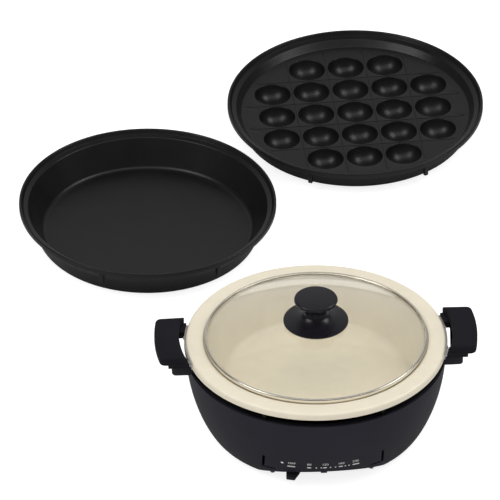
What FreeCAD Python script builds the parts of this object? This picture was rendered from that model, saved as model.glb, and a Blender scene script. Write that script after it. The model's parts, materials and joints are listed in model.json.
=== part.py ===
import FreeCAD
import Part

import math
import os

# Electric grill pan with a deep pot, a glass lid and two spare cooking plates.
# Lengths are millimetres. The table is at height 0, the control lever faces -Y,
# and the origin is the centre of the heater base on the table.

# Heater base: a round plastic bowl
RIM_HEIGHT = 120.0            # top of the seated pot's flange
BODY_TOP = 101.0
BODY_BOTTOM = 4.0
BODY_TOP_RADIUS = 152.3
BODY_BOTTOM_RADIUS = 121.0
BODY_WALL = 3.0
SIDE_POWER = 1.71             # the two powers shape the bowl's side between its edges
SIDE_ROOT = 1.31
FLOOR_RING_Z = 6.0
FLOOR_RING_INNER = 104.0
FLOOR_RING_THICK = 2.5
SHELF_Z = 92.0                # inner shelf that carries the guard ring
SHELF_INNER = 143.0
SHELF_THICK = 2.5
BODY_FOOT_RING_INNER = 118.2
GUARD_INNER = 137.5
GUARD_SKIRT_THICK = 1.7
GUARD_SKIRT_LOW = 88.0
GUARD_THICK = 2.5
POST_PITCH_RADIUS = 106.0
POST_RADIUS = 4.5
SCREW_RADIUS = 1.5
PILOT_RADIUS = 1.25           # of the screws that cut their own thread
FOOT_PITCH_RADIUS = 92.0
FOOT_RADIUS = 9.0
FOOT_STEM_RADIUS = 3.0
COVER_RADIUS = 117.7
COVER_BOTTOM = 4.5
COVER_FRONT = 95.5

# The front of the bowl is cut away upwards, so that a finger reaches the lever
FRONT_CUT_DEPTH = 135.0       # where the cut plane reaches its height, measured forwards
FRONT_CUT_HEIGHT = 25.0
FRONT_CUT_SLOPE = 0.53
SLIT_X = 70.0
SLIT_WIDTH = 3.0
SLIT_BOTTOM = 21.0
SLIT_TOP = 44.0
SLIT_RUN = 14.0
INDEX_TAB_WIDTH = 7.4
PANEL_THICK = 2.8
PANEL_HALF_WIDTH = 66.0
PANEL_REAR = 97.0
PANEL_SCREW_X = 58.0
PANEL_SCREW_DEPTH = 103.0
PANEL_SCREW_HEAD = 2.6

# Control lever, turning about the thermostat's upright spindle
LEVER_REST_ANGLE = -16.6      # from straight ahead, at OFF
LEVER_REACH = 137.0
LEVER_ROOT_WIDTH = 16.0
LEVER_TIP_WIDTH = 10.0
LEVER_BOTTOM = 12.0
LEVER_THICK = 4.2
LEVER_ARM_Z = 14.0
LEVER_ARM_THICK = 1.5
LEVER_ARM_HALF_WIDTH = 6.0
LEVER_ARM_REACH = 116.0
LEVER_BLADE_ROOT = 106.0
LEVER_BLADE_SHOULDER = 123.0
SPINDLE_RADIUS = 3.0
SPINDLE_FIT = 0.05
SPINDLE_TOP = 30.0
WINDOW_HALF_WIDTH = 46.5
WINDOW_REAR = 103.0
WINDOW_FRONT = 120.3

# Removable ware: the pot and both plates share one flange
FLANGE_RADIUS = 153.0
FLANGE_THICK = 2.6
LIP_THICK = 2.2
LUG_RADIUS = 146.0
LUG_ANGLE = 28.3              # from the front and back axis
LUG_DROP = 22.7               # from the flange's top to the lug's foot
POT_DEPTH = 52.0
POT_BASE_THICK = 4.0
POT_FLOOR_RADIUS = 105.5
POT_MOUTH_RADIUS = 127.3
POT_LIP = 9.0
LEDGE_RADIUS = 132.7
LEDGE_DROP = 2.4
REST_GAP = 0.3

# Side grips of the pot and side ears of the base
GRIP_OUTER_RADIUS = 189.5
GRIP_INNER_RADIUS = 160.5
GRIP_HALF_LENGTH = 42.5
GRIP_BOTTOM = RIM_HEIGHT - 2.0
GRIP_THICK = 12.0
GRIP_CORNER = 7.0
GRIP_SOFT_EDGE = 2.6
GRIP_HORN_RADIUS = 157.5      # the bar's rear inner corner reaches further in
GRIP_HORN_NEAR_Y = 37.0
GRIP_FRONT_PAD = (-42.0, -28.0, 157.0)    # from y, to y, inner radius
GRIP_REAR_PAD = (24.0, 42.0, 155.0)
GRIP_PAD_OUTER_X = 176.0
GRIP_PAD_BOTTOM = RIM_HEIGHT - 5.0
GRIP_PAD_TOP = RIM_HEIGHT + 1.0
EAR_OUTER_X = 171.0
EAR_FRONT_Y = -34.0
EAR_REAR_Y = 44.0
EAR_BOTTOM = RIM_HEIGHT - 21.0
EAR_TOP = RIM_HEIGHT - 5.4
EAR_BRIDGE_TOP = RIM_HEIGHT - 9.8
EAR_ARCH_LOW = RIM_HEIGHT - 18.0
EAR_BRIDGE_X = 160.5
BRACKET_ARM_Z = RIM_HEIGHT - 4.0
BRACKET_ARM_THICK = 2.0
BRACKET_ARM_INNER = 30.5
BRACKET_ARM_OUTER = 40.5
BRACKET_ARM_REACH = 173.0
STRAP_THICK = 1.5
RIVET_Y = 21.0
RIVET_Z = RIM_HEIGHT - 5.7
RIVET_RADIUS = 1.5
RIVET_HEAD_RADIUS = 2.4
GRIP_SCREW_X = 166.0
GRIP_SCREW_Y = 35.5
GRIP_SCREW_RADIUS = 1.6
GRIP_SCREW_HOLE = 9.0
GRIP_SINK_RADIUS = 3.4
GRIP_SINK_DEPTH = 0.3
GRIP_CUT_INNER_X = 145.0
EAR_SCREW_X = 144.6
EAR_SCREW_Y = 28.0
EAR_SCREW_SEAT = 102.5
EAR_SLOT_FRONT_Y = -25.0
EAR_SLOT_REAR_Y = 37.0
EAR_SLOT_X = 162.5
EAR_ROOT_X = 155.5

# Glass lid
LID_RADIUS = 131.0
LID_BAND_BOTTOM = RIM_HEIGHT - LEDGE_DROP + REST_GAP
LID_BAND_HEIGHT = 7.2
LID_SPHERE = 353.3
LID_CROWN_Z = RIM_HEIGHT + 27.8
LID_CENTRE_Z = LID_CROWN_Z - LID_SPHERE
LID_BAND_INNER = 126.6
LID_BAND_SHEET = 0.7
GLASS_THICK = 4.0
KNOB_DISC_RADIUS = 26.2
KNOB_TOP = RIM_HEIGHT + 60.0
SKIRT_RADIUS = 38.2
SKIRT_HEIGHT = 19.0
SKIRT_WAIST_RADIUS = 12.6
KNOB_BORE = 2.6
WASHER_RADIUS = 9.0
WASHER_THICK = 1.6

# Heating parts
ELEMENT_RADIUS = 3.75
ELEMENT_LOOP_RADIUS = 80.0
ELEMENT_Z = RIM_HEIGHT - POT_DEPTH - POT_BASE_THICK - REST_GAP - ELEMENT_RADIUS
SHIELD_FLOOR = 46.0
SHIELD_THICK = 0.8
SENSOR_RADIUS = 11.0
SENSOR_TOP = RIM_HEIGHT - POT_DEPTH - POT_BASE_THICK - REST_GAP
SENSOR_HEIGHT = 14.0
SENSOR_SKIN = 1.0
SENSOR_SKIRT_SKIN = 0.8
ELEMENT_GAP_ANGLE = 18.0      # half the opening of the element's loop
ELEMENT_BEND = 10.0
ELEMENT_LEG_BOTTOM = 38.0
TERMINAL_BOTTOM = 27.0
TERMINAL_RADIUS = 1.4
BEAD_RADIUS = 3.4
CLAMP_ANGLES = (-90, 20, 160)
CLAMP_RIVET_IN = 10.0         # from the loop's centre line inwards
CLAMP_HALF_WIDTH = 4.5
SPRING_WIRE_RADIUS = 0.4
SPRING_RADIUS = 8.9
SPRING_TURNS = 4.5
CASE_HALF_LENGTH = 20.0
CASE_HALF_WIDTH = 14.0
CASE_BOTTOM = 23.0
CASE_TAB_Z = 30.0
CASE_TAB_THICK = 0.8
COLUMN_RADIUS = 7.4
COLUMN_TOP = 56.0
BRACKET_PLATE_THICK = 1.2
WIRE_RADIUS = 1.3
FUSE_Z = 33.0
FUSE_RADIUS = 3.0
FUSE_LEAD_RADIUS = 1.0

# Power inlet at the back, and the pilot lamp beside the OFF mark
INLET_Z = 38.0
INLET_HALF_WIDTH = 25.0
INLET_HALF_HEIGHT = 13.0
INLET_FACE_Y = 146.0
INLET_REAR_Y = 117.0
SOCKET_HALF_WIDTH = 19.0
SOCKET_HALF_HEIGHT = 7.5
SOCKET_DEPTH = 15.0
PIN_RADIUS = 2.0
PIN_HALF_SPACING = 9.5
PIN_REAR_Y = 104.0
PIN_SHORT_OF_FACE = 4.0
LAMP_X = -49.0
LAMP_Z = 39.0
LAMP_RADIUS = 2.2
LAMP_COLLAR_RADIUS = 3.4
LAMP_HOLDER_DEPTH = 26.0
LAMP_LENS_DEPTH = 6.0

# Spare plates, lying on the table behind the base
FLAT_PLATE_AT = (-171.0, 404.3)
FLAT_PLATE_HEIGHT = 44.0
FLAT_PLATE_FLOOR = 5.0
FLAT_FLOOR_RADIUS = 124.5
FLAT_BOTTOM_RADIUS = 130.6
FLAT_WAIST_RADIUS = 137.0
FLAT_WAIST_DROP = 22.0
BALL_PLATE_AT = (91.4, 607.3)
BALL_PLATE_HEIGHT = 35.0
BALL_DECK = 21.0
BALL_DECK_RADIUS = 136.0
BALL_WAIST_RADIUS = 138.6
BALL_PITCH = 47.0
BALL_MOUTH_RADIUS = 21.5
BALL_DEPTH = 18.0
BALL_SHELL = 3.0
BALL_SHEET = 3.2
BALL_RING_RADIUS = 136.2
BALL_RING_BOTTOM = 6.4
BALL_ROWS = (3, 5, 5, 5, 3)
GROOVE_REACH = 131.0
GROOVE_DEPTH = 0.5
GROOVE_HALF_WIDTH = 0.4
PLATE_LIP = 6.0
BEAD_INNER_RADIUS = 150.6
LEDGE_FOOT_RADIUS = 147.8
LEDGE_FOOT_DROP = 4.4
LEDGE_HEAD_RADIUS = 142.4
LEDGE_HEAD_DROP = 6.5
RIM_ROOT_RADIUS = 149.4
RIM_ROOT_DROP = 7.2
WALL_HEAD_RADIUS = 144.6
WALL_HEAD_DROP = 9.3
PLATE_PEG_TOP = 7.5
PLATE_TURN = 2.7

V = FreeCAD.Vector
ORIGIN = V(0, 0, 0)
UP = V(0, 0, 1)


def box(x0, x1, y0, y1, z0, z1):
    """A block between two corners."""
    return Part.makeBox(x1 - x0, y1 - y0, z1 - z0, V(x0, y0, z0))


def rod(radius, start, end):
    """A round bar between two points."""
    along = V(*end) - V(*start)
    return Part.makeCylinder(radius, along.Length, V(*start), along)


def tube(outer, inner, start, end):
    return rod(outer, start, end).cut(rod(inner, start, end))


def turned(shape, degrees):
    """A copy of the shape turned about the upright axis through the origin."""
    copy = shape.copy()
    copy.rotate(ORIGIN, UP, degrees)
    return copy


def moved(shape, x, y, z=0.0):
    copy = shape.copy()
    copy.translate(V(x, y, z))
    return copy


def fused(shapes):
    return shapes[0].multiFuse(shapes[1:]).removeSplitter()


def flat_ring(inner, outer, z0, z1):
    return tube(outer, inner, (0, 0, z0), (0, 0, z1))


def rounded_wire(corners, place):
    """Closed outline through corners (u, v, corner radius); place puts (u, v) in space."""
    count = len(corners)
    starts, ends, edges = [], [], []
    arcs = []
    for i in range(count):
        here = V(corners[i][0], corners[i][1], 0)
        before = V(corners[i - 1][0], corners[i - 1][1], 0) - here
        after = V(corners[(i + 1) % count][0], corners[(i + 1) % count][1], 0) - here
        radius = corners[i][2]
        before.normalize()
        after.normalize()
        if radius <= 0:
            starts.append(here)
            ends.append(here)
            arcs.append(None)
            continue
        half = before.getAngle(after) / 2
        reach = radius / math.tan(half)
        middle = before + after
        middle.normalize()
        starts.append(here + before * reach)
        ends.append(here + after * reach)
        arcs.append(here + middle * (radius / math.sin(half) - radius))
    for i in range(count):
        if arcs[i] is not None:
            points = [place(p.x, p.y) for p in (starts[i], arcs[i], ends[i])]
            edges.append(Part.Arc(*points).toShape())
        line_from = place(ends[i].x, ends[i].y)
        line_to = place(starts[(i + 1) % count].x, starts[(i + 1) % count].y)
        if line_from.distanceToPoint(line_to) > 1e-6:
            edges.append(Part.LineSegment(line_from, line_to).toShape())
    return Part.Wire(edges)


def revolved(corners):
    """A solid of revolution about the upright axis, from corners (radius, height, rounding)."""
    wire = rounded_wire(corners, lambda r, z: V(r, 0, z))
    return Part.Face(wire).revolve(ORIGIN, UP, 360)


def prism(corners, z0, z1):
    """An upright prism from plan corners (x, y, rounding)."""
    wire = rounded_wire(corners, lambda x, y: V(x, y, z0))
    return Part.Face(wire).extrude(V(0, 0, z1 - z0))


def side_radius(z):
    """Radius of the bowl's outside at height z."""
    share = min(max((z - BODY_BOTTOM) / (BODY_TOP - BODY_BOTTOM), 0.0), 1.0)
    swell = (1 - (1 - share) ** SIDE_POWER) ** (1 / SIDE_ROOT)
    return BODY_BOTTOM_RADIUS + (BODY_TOP_RADIUS - BODY_BOTTOM_RADIUS) * swell


def side_curve(z_from, z_to, inset):
    """The bowl's side as one smooth edge, closer together where it curves most."""
    steps = 9
    points = []
    for i in range(steps):
        z = z_from + (z_to - z_from) * (i / (steps - 1)) ** 2
        points.append(V(side_radius(z) - inset, 0, z))
    curve = Part.BSplineCurve()
    curve.interpolate(points)
    return curve.toShape()


def bowl_volume(inset):
    """Everything inside the bowl's side, less the inset."""
    top = BODY_TOP
    side = side_curve(BODY_BOTTOM, top, inset)
    corners = [V(side_radius(top) - inset, 0, top), V(0, 0, top), V(0, 0, BODY_BOTTOM),
               V(BODY_BOTTOM_RADIUS - inset, 0, BODY_BOTTOM)]
    edges = [side]
    edges += [Part.LineSegment(a, b).toShape() for a, b in zip(corners, corners[1:])]
    return Part.Face(Part.Wire(edges)).revolve(ORIGIN, UP, 360)


def cut_height(forward):
    """Height of the front cut's sloping plane at a distance forwards of the axis."""
    return FRONT_CUT_HEIGHT - FRONT_CUT_SLOPE * (FRONT_CUT_DEPTH - forward)


def front_slab(forward_from, forward_to, below, above, half_width):
    """The sheet of space between two heights over the sloping plane."""
    corners = [V(-half_width, -forward_from, cut_height(forward_from) + below),
               V(-half_width, -forward_to, cut_height(forward_to) + below),
               V(-half_width, -forward_to, cut_height(forward_to) + above),
               V(-half_width, -forward_from, cut_height(forward_from) + above)]
    face = Part.Face(Part.makePolygon(corners + corners[:1]))
    return face.extrude(V(2 * half_width, 0, 0))


def around(shape, degrees):
    """Copies of a shape at several turns about the upright axis."""
    return [turned(shape, d) for d in degrees]


def posts_at(z0, z1, radius):
    base = rod(radius, (POST_PITCH_RADIUS, 0, z0), (POST_PITCH_RADIUS, 0, z1))
    return around(base, (45, 135, 225, 315))


def lamp_rod(radius, from_radius, to_radius):
    """A bar along the pilot lamp's own radius."""
    forward = -math.sqrt(side_radius(LAMP_Z) ** 2 - LAMP_X ** 2)
    length = math.hypot(LAMP_X, forward)
    ux, uy = LAMP_X / length, forward / length
    return rod(radius, (ux * from_radius, uy * from_radius, LAMP_Z),
               (ux * to_radius, uy * to_radius, LAMP_Z))


def panel_bosses():
    """Two ribs inside the front wall that take the slot plate's screws."""
    over_panel = front_slab(60, 160, -60, REST_GAP + PANEL_THICK + 0.3, 90)
    bosses = []
    for side in (-1, 1):
        x, y = side * PANEL_SCREW_X, -PANEL_SCREW_DEPTH
        post = rod(3.8, (x, y, 5.0), (x, y, 27.0))
        toward_wall = math.degrees(math.atan2(PANEL_SCREW_X, PANEL_SCREW_DEPTH))
        rib = moved(turned(box(-1.2, 1.2, -32.0, -2.0, 17.0, 26.0), side * toward_wall), x, y)
        bosses.append(post.fuse(rib).cut(over_panel))
    return bosses


def panel_screw_holes(radius, z0, z1):
    places = [(s * PANEL_SCREW_X, -PANEL_SCREW_DEPTH) for s in (-1, 1)]
    return [rod(radius, (x, y, z0), (x, y, z1)) for x, y in places]


def ear_screw_places():
    return [(s * EAR_SCREW_X, e * EAR_SCREW_Y) for s in (-1, 1) for e in (-1, 1)]


def body_shell():
    outer = side_curve(BODY_BOTTOM, BODY_TOP - 1.4, 0.0)
    inner_top = BODY_TOP - 6.5
    above_shelf = side_radius(inner_top) - BODY_WALL
    below_shelf = side_curve(FLOOR_RING_Z + FLOOR_RING_THICK, SHELF_Z, BODY_WALL)
    rim_outer = V(side_radius(BODY_TOP - 1.4), 0, BODY_TOP - 1.4)
    rim_top = V(rim_outer.x - 1.4, 0, BODY_TOP)
    rim_mid = V(rim_outer.x - 0.41, 0, BODY_TOP - 0.41)
    path = [rim_top, V(above_shelf + 0.5, 0, BODY_TOP), V(above_shelf, 0, inner_top),
            V(SHELF_INNER, 0, SHELF_Z + SHELF_THICK), V(SHELF_INNER, 0, SHELF_Z),
            V(side_radius(SHELF_Z) - BODY_WALL, 0, SHELF_Z)]
    floor_top = FLOOR_RING_Z + FLOOR_RING_THICK
    path_low = [V(side_radius(floor_top) - BODY_WALL, 0, floor_top),
                V(FLOOR_RING_INNER, 0, floor_top), V(FLOOR_RING_INNER, 0, FLOOR_RING_Z),
                V(BODY_FOOT_RING_INNER, 0, FLOOR_RING_Z), V(BODY_FOOT_RING_INNER, 0, BODY_BOTTOM),
                V(BODY_BOTTOM_RADIUS, 0, BODY_BOTTOM)]
    edges = [outer, Part.Arc(rim_outer, rim_mid, rim_top).toShape()]
    edges += [Part.LineSegment(a, b).toShape() for a, b in zip(path, path[1:])]
    edges.append(below_shelf)
    edges += [Part.LineSegment(a, b).toShape() for a, b in zip(path_low, path_low[1:])]
    wire = Part.Wire(Part.__sortEdges__(edges))
    shell = Part.Face(wire).revolve(ORIGIN, UP, 360)
    shelf_top_slope = flat_ring(SHELF_INNER, above_shelf + 0.2, SHELF_Z + 0.5, inner_top)
    shell = shell.fuse(shelf_top_slope)

    ring_gap = box(-68, 68, -FRONT_CUT_DEPTH, -96, 5.0, 9.0).common(bowl_volume(BODY_WALL))
    shell = shell.cut(ring_gap)
    tab_half = INDEX_TAB_WIDTH / 2
    tab = box(-tab_half, tab_half, -134.2, -132.5, FRONT_CUT_HEIGHT - 2.2, FRONT_CUT_HEIGHT + 1.5)
    below_cut = front_slab(60, 170, -60, 0, 120)
    shell = shell.cut(below_cut).fuse(tab.common(bowl_volume(0.0)))
    posts = posts_at(FLOOR_RING_Z + 1, SHIELD_FLOOR - SHIELD_THICK, POST_RADIUS)
    posts += [boss.common(bowl_volume(0.5)) for boss in panel_bosses()]
    shell = fused([shell] + posts)

    cuts = []
    for side in (-1, 1):
        x = side * SLIT_X
        half = SLIT_WIDTH / 2
        cuts.append(box(x - half, x + half, -150, -100, SLIT_BOTTOM, SLIT_TOP))
        run_from, run_to = sorted((x + side * half, x - side * SLIT_RUN))
        cuts.append(box(run_from, run_to, -150, -100, SLIT_BOTTOM, SLIT_BOTTOM + SLIT_WIDTH))
    cuts += panel_screw_holes(PILOT_RADIUS, 5, 22)
    cuts += posts_at(0.0, 20.0, SCREW_RADIUS)
    cuts += posts_at(SHIELD_FLOOR - 12, SHIELD_FLOOR, PILOT_RADIUS)
    cuts += [rod(SCREW_RADIUS, (x, y, 88), (x, y, 98)) for x, y in ear_screw_places()]
    cuts.append(lamp_rod(LAMP_RADIUS, 120, 160))
    cuts.append(box(-INLET_HALF_WIDTH, INLET_HALF_WIDTH, 110, 160,
                    INLET_Z - INLET_HALF_HEIGHT, INLET_Z + INLET_HALF_HEIGHT))
    return shell.cut(cuts[0].multiFuse(cuts[1:]))


def guard_ring():
    shelf_top = SHELF_Z + SHELF_THICK
    outer = side_radius(shelf_top) - BODY_WALL - 0.1
    skirt = GUARD_INNER + GUARD_SKIRT_THICK
    top = shelf_top + GUARD_THICK
    ring = revolved([(GUARD_INNER, GUARD_SKIRT_LOW, 0.4), (skirt, GUARD_SKIRT_LOW, 0.4),
                     (skirt, shelf_top, 0), (outer, shelf_top, 0), (outer, top, 0.8),
                     (GUARD_INNER, top, 1.2)])
    holes = [rod(SCREW_RADIUS, (x, y, shelf_top - 5), (x, y, top + 5)) for x, y in ear_screw_places()]
    return ring.cut(holes[0].multiFuse(holes[1:]))


def side_ear(side):
    """C-shaped carrying ear hooked over the bowl's edge, under the pot's grip.

    In front it joins the bowl's edge with a deep web, at the back with a raised arch."""
    edge_clear = BODY_TOP + 0.05
    front, rear = EAR_FRONT_Y, EAR_REAR_Y
    seat = SHELF_Z + SHELF_THICK
    tongue = box(140, 158, front, rear, seat + GUARD_THICK, EAR_SCREW_SEAT + 2)
    tongue = tongue.common(flat_ring(140, side_radius(seat) - BODY_WALL - 0.15, 90, 110))
    over_bowl = rod(BODY_TOP_RADIUS + 0.1, (0, 0, 0), (0, 0, edge_clear))
    web = box(143, EAR_BRIDGE_X, front, EAR_SLOT_FRONT_Y, EAR_BOTTOM, EAR_BRIDGE_TOP).cut(over_bowl)
    arch = box(143, EAR_BRIDGE_X + 2, EAR_SLOT_REAR_Y, rear, EAR_ARCH_LOW, EAR_BRIDGE_TOP)
    frame = prism([(EAR_ROOT_X, front, 0.5), (EAR_OUTER_X, front, 5),
                   (EAR_OUTER_X, rear, 5), (EAR_ROOT_X, rear, 0.5)], EAR_BOTTOM, EAR_TOP)
    slot = box(150, EAR_SLOT_X, EAR_SLOT_FRONT_Y, EAR_SLOT_REAR_Y, EAR_BOTTOM - 1, EAR_TOP + 1)
    under_arch = box(150, EAR_BRIDGE_X, EAR_SLOT_REAR_Y - 1, rear + 1, EAR_BOTTOM - 1, EAR_ARCH_LOW)
    ear = fused([tongue, web, arch, frame.cut(slot).cut(under_arch)])
    ear = ear.cut(flat_ring(FLANGE_RADIUS - 4, FLANGE_RADIUS + 2.0, RIM_HEIGHT - POT_LIP - 0.5, 125))
    wells = []
    for s in (-1, 1):
        y = s * EAR_SCREW_Y
        wells.append(rod(SCREW_RADIUS, (EAR_SCREW_X, y, 90), (EAR_SCREW_X, y, 110)))
        wells.append(rod(3.2, (EAR_SCREW_X, y, EAR_SCREW_SEAT), (EAR_SCREW_X, y, 115)))
    ear = ear.cut(wells[0].multiFuse(wells[1:]))
    return ear if side > 0 else ear.mirror(ORIGIN, V(1, 0, 0))


def screw(x, y, head_z, tip_z, radius, head_radius, head_thick):
    """A pan-head screw on an upright line; its head is at head_z and grows away from the tip."""
    away = 1 if head_z > tip_z else -1
    shank = rod(radius, (x, y, tip_z), (x, y, head_z))
    head = rod(head_radius, (x, y, head_z), (x, y, head_z + away * head_thick))
    cross = box(x - 0.4, x + 0.4, y - head_radius * 0.6, y + head_radius * 0.6,
                min(head_z + away * head_thick * 0.4, head_z + away * head_thick * 1.1),
                max(head_z + away * head_thick * 0.4, head_z + away * head_thick * 1.1))
    across = cross.copy()
    across.rotate(V(x, y, 0), UP, 90)
    return shank.fuse(head).cut(cross.fuse(across))


def group(shapes):
    return Part.makeCompound(shapes)


def ear_screws():
    return group([screw(x, y, EAR_SCREW_SEAT, SHELF_Z - 1.5, SCREW_RADIUS, 3.0, 1.8)
                  for x, y in ear_screw_places()])


def control_panel():
    """Sloping slot plate that closes the front cut and lets the lever through."""
    plate = front_slab(PANEL_REAR, 140, REST_GAP, REST_GAP + PANEL_THICK, PANEL_HALF_WIDTH)
    plate = plate.common(bowl_volume(BODY_WALL + 0.3))
    window = box(-WINDOW_HALF_WIDTH, WINDOW_HALF_WIDTH, -WINDOW_FRONT, -WINDOW_REAR, 0, 40)
    holes = panel_screw_holes(SCREW_RADIUS, 4, 14)
    return plate.cut(window).cut(holes[0].fuse(holes[1]))


def control_panel_screws():
    head_z = cut_height(PANEL_SCREW_DEPTH - PANEL_SCREW_HEAD)
    return group([screw(s * PANEL_SCREW_X, -PANEL_SCREW_DEPTH, head_z, 21.0, PILOT_RADIUS,
                        PANEL_SCREW_HEAD, 1.2) for s in (-1, 1)])


def bottom_cover():
    disc = rod(COVER_RADIUS, (0, 0, COVER_BOTTOM), (0, 0, FLOOR_RING_Z))
    disc = disc.cut(box(-120, 120, -130, -COVER_FRONT, 0, 10))
    slots = []
    for ring_radius, count in ((42, 8), (66, 12)):
        slot = box(ring_radius - 9, ring_radius + 9, -2, 2, 4, 7)
        slots += around(slot, [360 / count * i for i in range(count)])
    slots += posts_at(4.0, 7.0, SCREW_RADIUS)
    slots += around(rod(FOOT_STEM_RADIUS, (FOOT_PITCH_RADIUS, 0, 4), (FOOT_PITCH_RADIUS, 0, 7)),
                    (45, 135, 225, 315))
    return disc.cut(slots[0].multiFuse(slots[1:]))


def bottom_screws():
    return group([screw(x, y, COVER_BOTTOM, 19.5, SCREW_RADIUS, 3.2, 1.8) for x, y in post_places()])


def shield_screws():
    return group([screw(x, y, SHIELD_FLOOR, SHIELD_FLOOR - 11, PILOT_RADIUS, 2.9, 1.6)
                  for x, y in post_places()])


def post_places():
    reach = POST_PITCH_RADIUS * math.sqrt(0.5)
    return [(reach, reach), (-reach, reach), (-reach, -reach), (reach, -reach)]


def rubber_foot(index):
    barb = FLOOR_RING_Z + 0.2
    pad = revolved([(0, 0, 0), (FOOT_RADIUS, 0, 1.2), (FOOT_RADIUS, COVER_BOTTOM, 0.6),
                    (FOOT_STEM_RADIUS, COVER_BOTTOM, 0), (FOOT_STEM_RADIUS, barb, 0),
                    (FOOT_STEM_RADIUS + 0.8, barb, 0), (FOOT_STEM_RADIUS, barb + 2.2, 0.4),
                    (0, barb + 2.2, 0)])
    x, y = post_places()[index]
    scale = FOOT_PITCH_RADIUS / POST_PITCH_RADIUS
    return moved(pad, x * scale, y * scale)


def heat_shield():
    floor = SHIELD_FLOOR
    under = floor - SHIELD_THICK
    pan = revolved([(13.5, under, 0), (112.6, under, 5), (130.3, 87.2, 2), (141.5, 87.2, 0),
                    (141.5, 88.0, 0), (129.8, 88.0, 1.4), (112.0, floor, 4.2), (13.5, floor, 0)])
    holes = posts_at(under - 2, floor + 2, 1.4)
    for x, y in element_leg_places():
        holes.append(rod(5.2, (x, y, under - 2), (x, y, floor + 2)))
    holes += clamp_holes()
    return pan.cut(holes[0].multiFuse(holes[1:]))


def element_leg_places():
    places = []
    for side in (-1, 1):
        angle = math.radians(90 - side * ELEMENT_GAP_ANGLE)
        px, py = ELEMENT_LOOP_RADIUS * math.cos(angle), ELEMENT_LOOP_RADIUS * math.sin(angle)
        tx, ty = -side * math.sin(angle), side * math.cos(angle)
        places.append((px + tx * ELEMENT_BEND, py + ty * ELEMENT_BEND))
    return places


def clamp_holes():
    x = ELEMENT_LOOP_RADIUS - CLAMP_RIVET_IN
    return around(rod(RIVET_RADIUS, (x, 0, SHIELD_FLOOR - 6), (x, 0, SHIELD_FLOOR + 4)), CLAMP_ANGLES)


def heating_element():
    """Sheathed ring heater: two upright legs, two tight bends and one loop."""
    edges = []
    ends = []
    bends = []
    for side in (-1, 1):
        angle = math.radians(90 - side * ELEMENT_GAP_ANGLE)
        top = V(ELEMENT_LOOP_RADIUS * math.cos(angle), ELEMENT_LOOP_RADIUS * math.sin(angle), ELEMENT_Z)
        toward_gap = V(-side * math.sin(angle), side * math.cos(angle), 0)
        quarter = math.sqrt(0.5)
        mid = top + toward_gap * (ELEMENT_BEND * quarter) + V(0, 0, -ELEMENT_BEND * (1 - quarter))
        low = top + toward_gap * ELEMENT_BEND + V(0, 0, -ELEMENT_BEND)
        foot = V(low.x, low.y, ELEMENT_LEG_BOTTOM)
        ends.append(top)
        bends.append((foot, low, mid, top))
    foot, low, mid, top = bends[0]
    edges.append(Part.LineSegment(foot, low).toShape())
    edges.append(Part.Arc(low, mid, top).toShape())
    edges.append(Part.Arc(ends[0], V(0, -ELEMENT_LOOP_RADIUS, ELEMENT_Z), ends[1]).toShape())
    foot_b, low_b, mid_b, top_b = bends[1]
    edges.append(Part.Arc(top_b, mid_b, low_b).toShape())
    edges.append(Part.LineSegment(low_b, foot_b).toShape())
    ring = Part.Wire(Part.makeCircle(ELEMENT_RADIUS, foot, UP))
    return Part.Wire(edges).makePipeShell([ring], True, False)


def element_terminals():
    pins = []
    for x, y in element_leg_places():
        pin = rod(TERMINAL_RADIUS, (x, y, TERMINAL_BOTTOM), (x, y, ELEMENT_LEG_BOTTOM))
        bead = tube(BEAD_RADIUS, TERMINAL_RADIUS, (x, y, ELEMENT_LEG_BOTTOM - 2.4),
                    (x, y, ELEMENT_LEG_BOTTOM))
        pins += [pin, bead]
    return group(pins)


def element_clamps():
    """Saddles that hold the ring over the reflector."""
    path = Part.makeTorus(ELEMENT_LOOP_RADIUS, ELEMENT_RADIUS + 0.02, V(0, 0, ELEMENT_Z), UP)
    half = CLAMP_HALF_WIDTH
    loop = ELEMENT_LOOP_RADIUS
    post = box(loop - 6, loop + 6, -half, half, SHIELD_FLOOR, ELEMENT_Z + 1.0)
    foot = box(loop - 14, loop - 6, -half, half, SHIELD_FLOOR, SHIELD_FLOOR + 1.5)
    hollow_top = ELEMENT_Z - ELEMENT_RADIUS - 1.4
    hollow = box(loop - 4.6, loop + 4.6, -half - 1, half + 1, SHIELD_FLOOR - 1, hollow_top)
    clamp = post.fuse(foot).cut(hollow)
    holes = clamp_holes()
    return group([c.cut(path.fuse(hole)) for c, hole in zip(around(clamp, CLAMP_ANGLES), holes)])


def clamp_rivets():
    x = ELEMENT_LOOP_RADIUS - CLAMP_RIVET_IN
    top = SHIELD_FLOOR + 1.5
    under = SHIELD_FLOOR - SHIELD_THICK
    rivet = fused([rod(RIVET_RADIUS, (x, 0, under), (x, 0, top)),
                   rod(RIVET_HEAD_RADIUS, (x, 0, top), (x, 0, top + 1)),
                   rod(RIVET_HEAD_RADIUS, (x, 0, under - 1), (x, 0, under))])
    return group(around(rivet, CLAMP_ANGLES))


def thermostat_bracket():
    under = SHIELD_FLOOR - SHIELD_THICK
    return flat_ring(COLUMN_RADIUS + 0.1, 24.0, under - BRACKET_PLATE_THICK, under)


def thermostat_body():
    under = SHIELD_FLOOR - SHIELD_THICK - BRACKET_PLATE_THICK
    x, y = CASE_HALF_LENGTH, CASE_HALF_WIDTH
    case = prism([(-x, -y, 2), (x, -y, 2), (x, y, 2), (-x, y, 2)], CASE_BOTTOM, under)
    post = rod(COLUMN_RADIUS, (0, 0, under), (0, 0, COLUMN_TOP))
    bore = rod(SPINDLE_RADIUS + SPINDLE_FIT, (0, 0, CASE_BOTTOM - 1), (0, 0, SPINDLE_TOP + 1))
    tabs = box(-x - 6, x + 6, 4, 10, CASE_TAB_Z, CASE_TAB_Z + CASE_TAB_THICK)
    return fused([case, post, tabs]).cut(bore)


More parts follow.
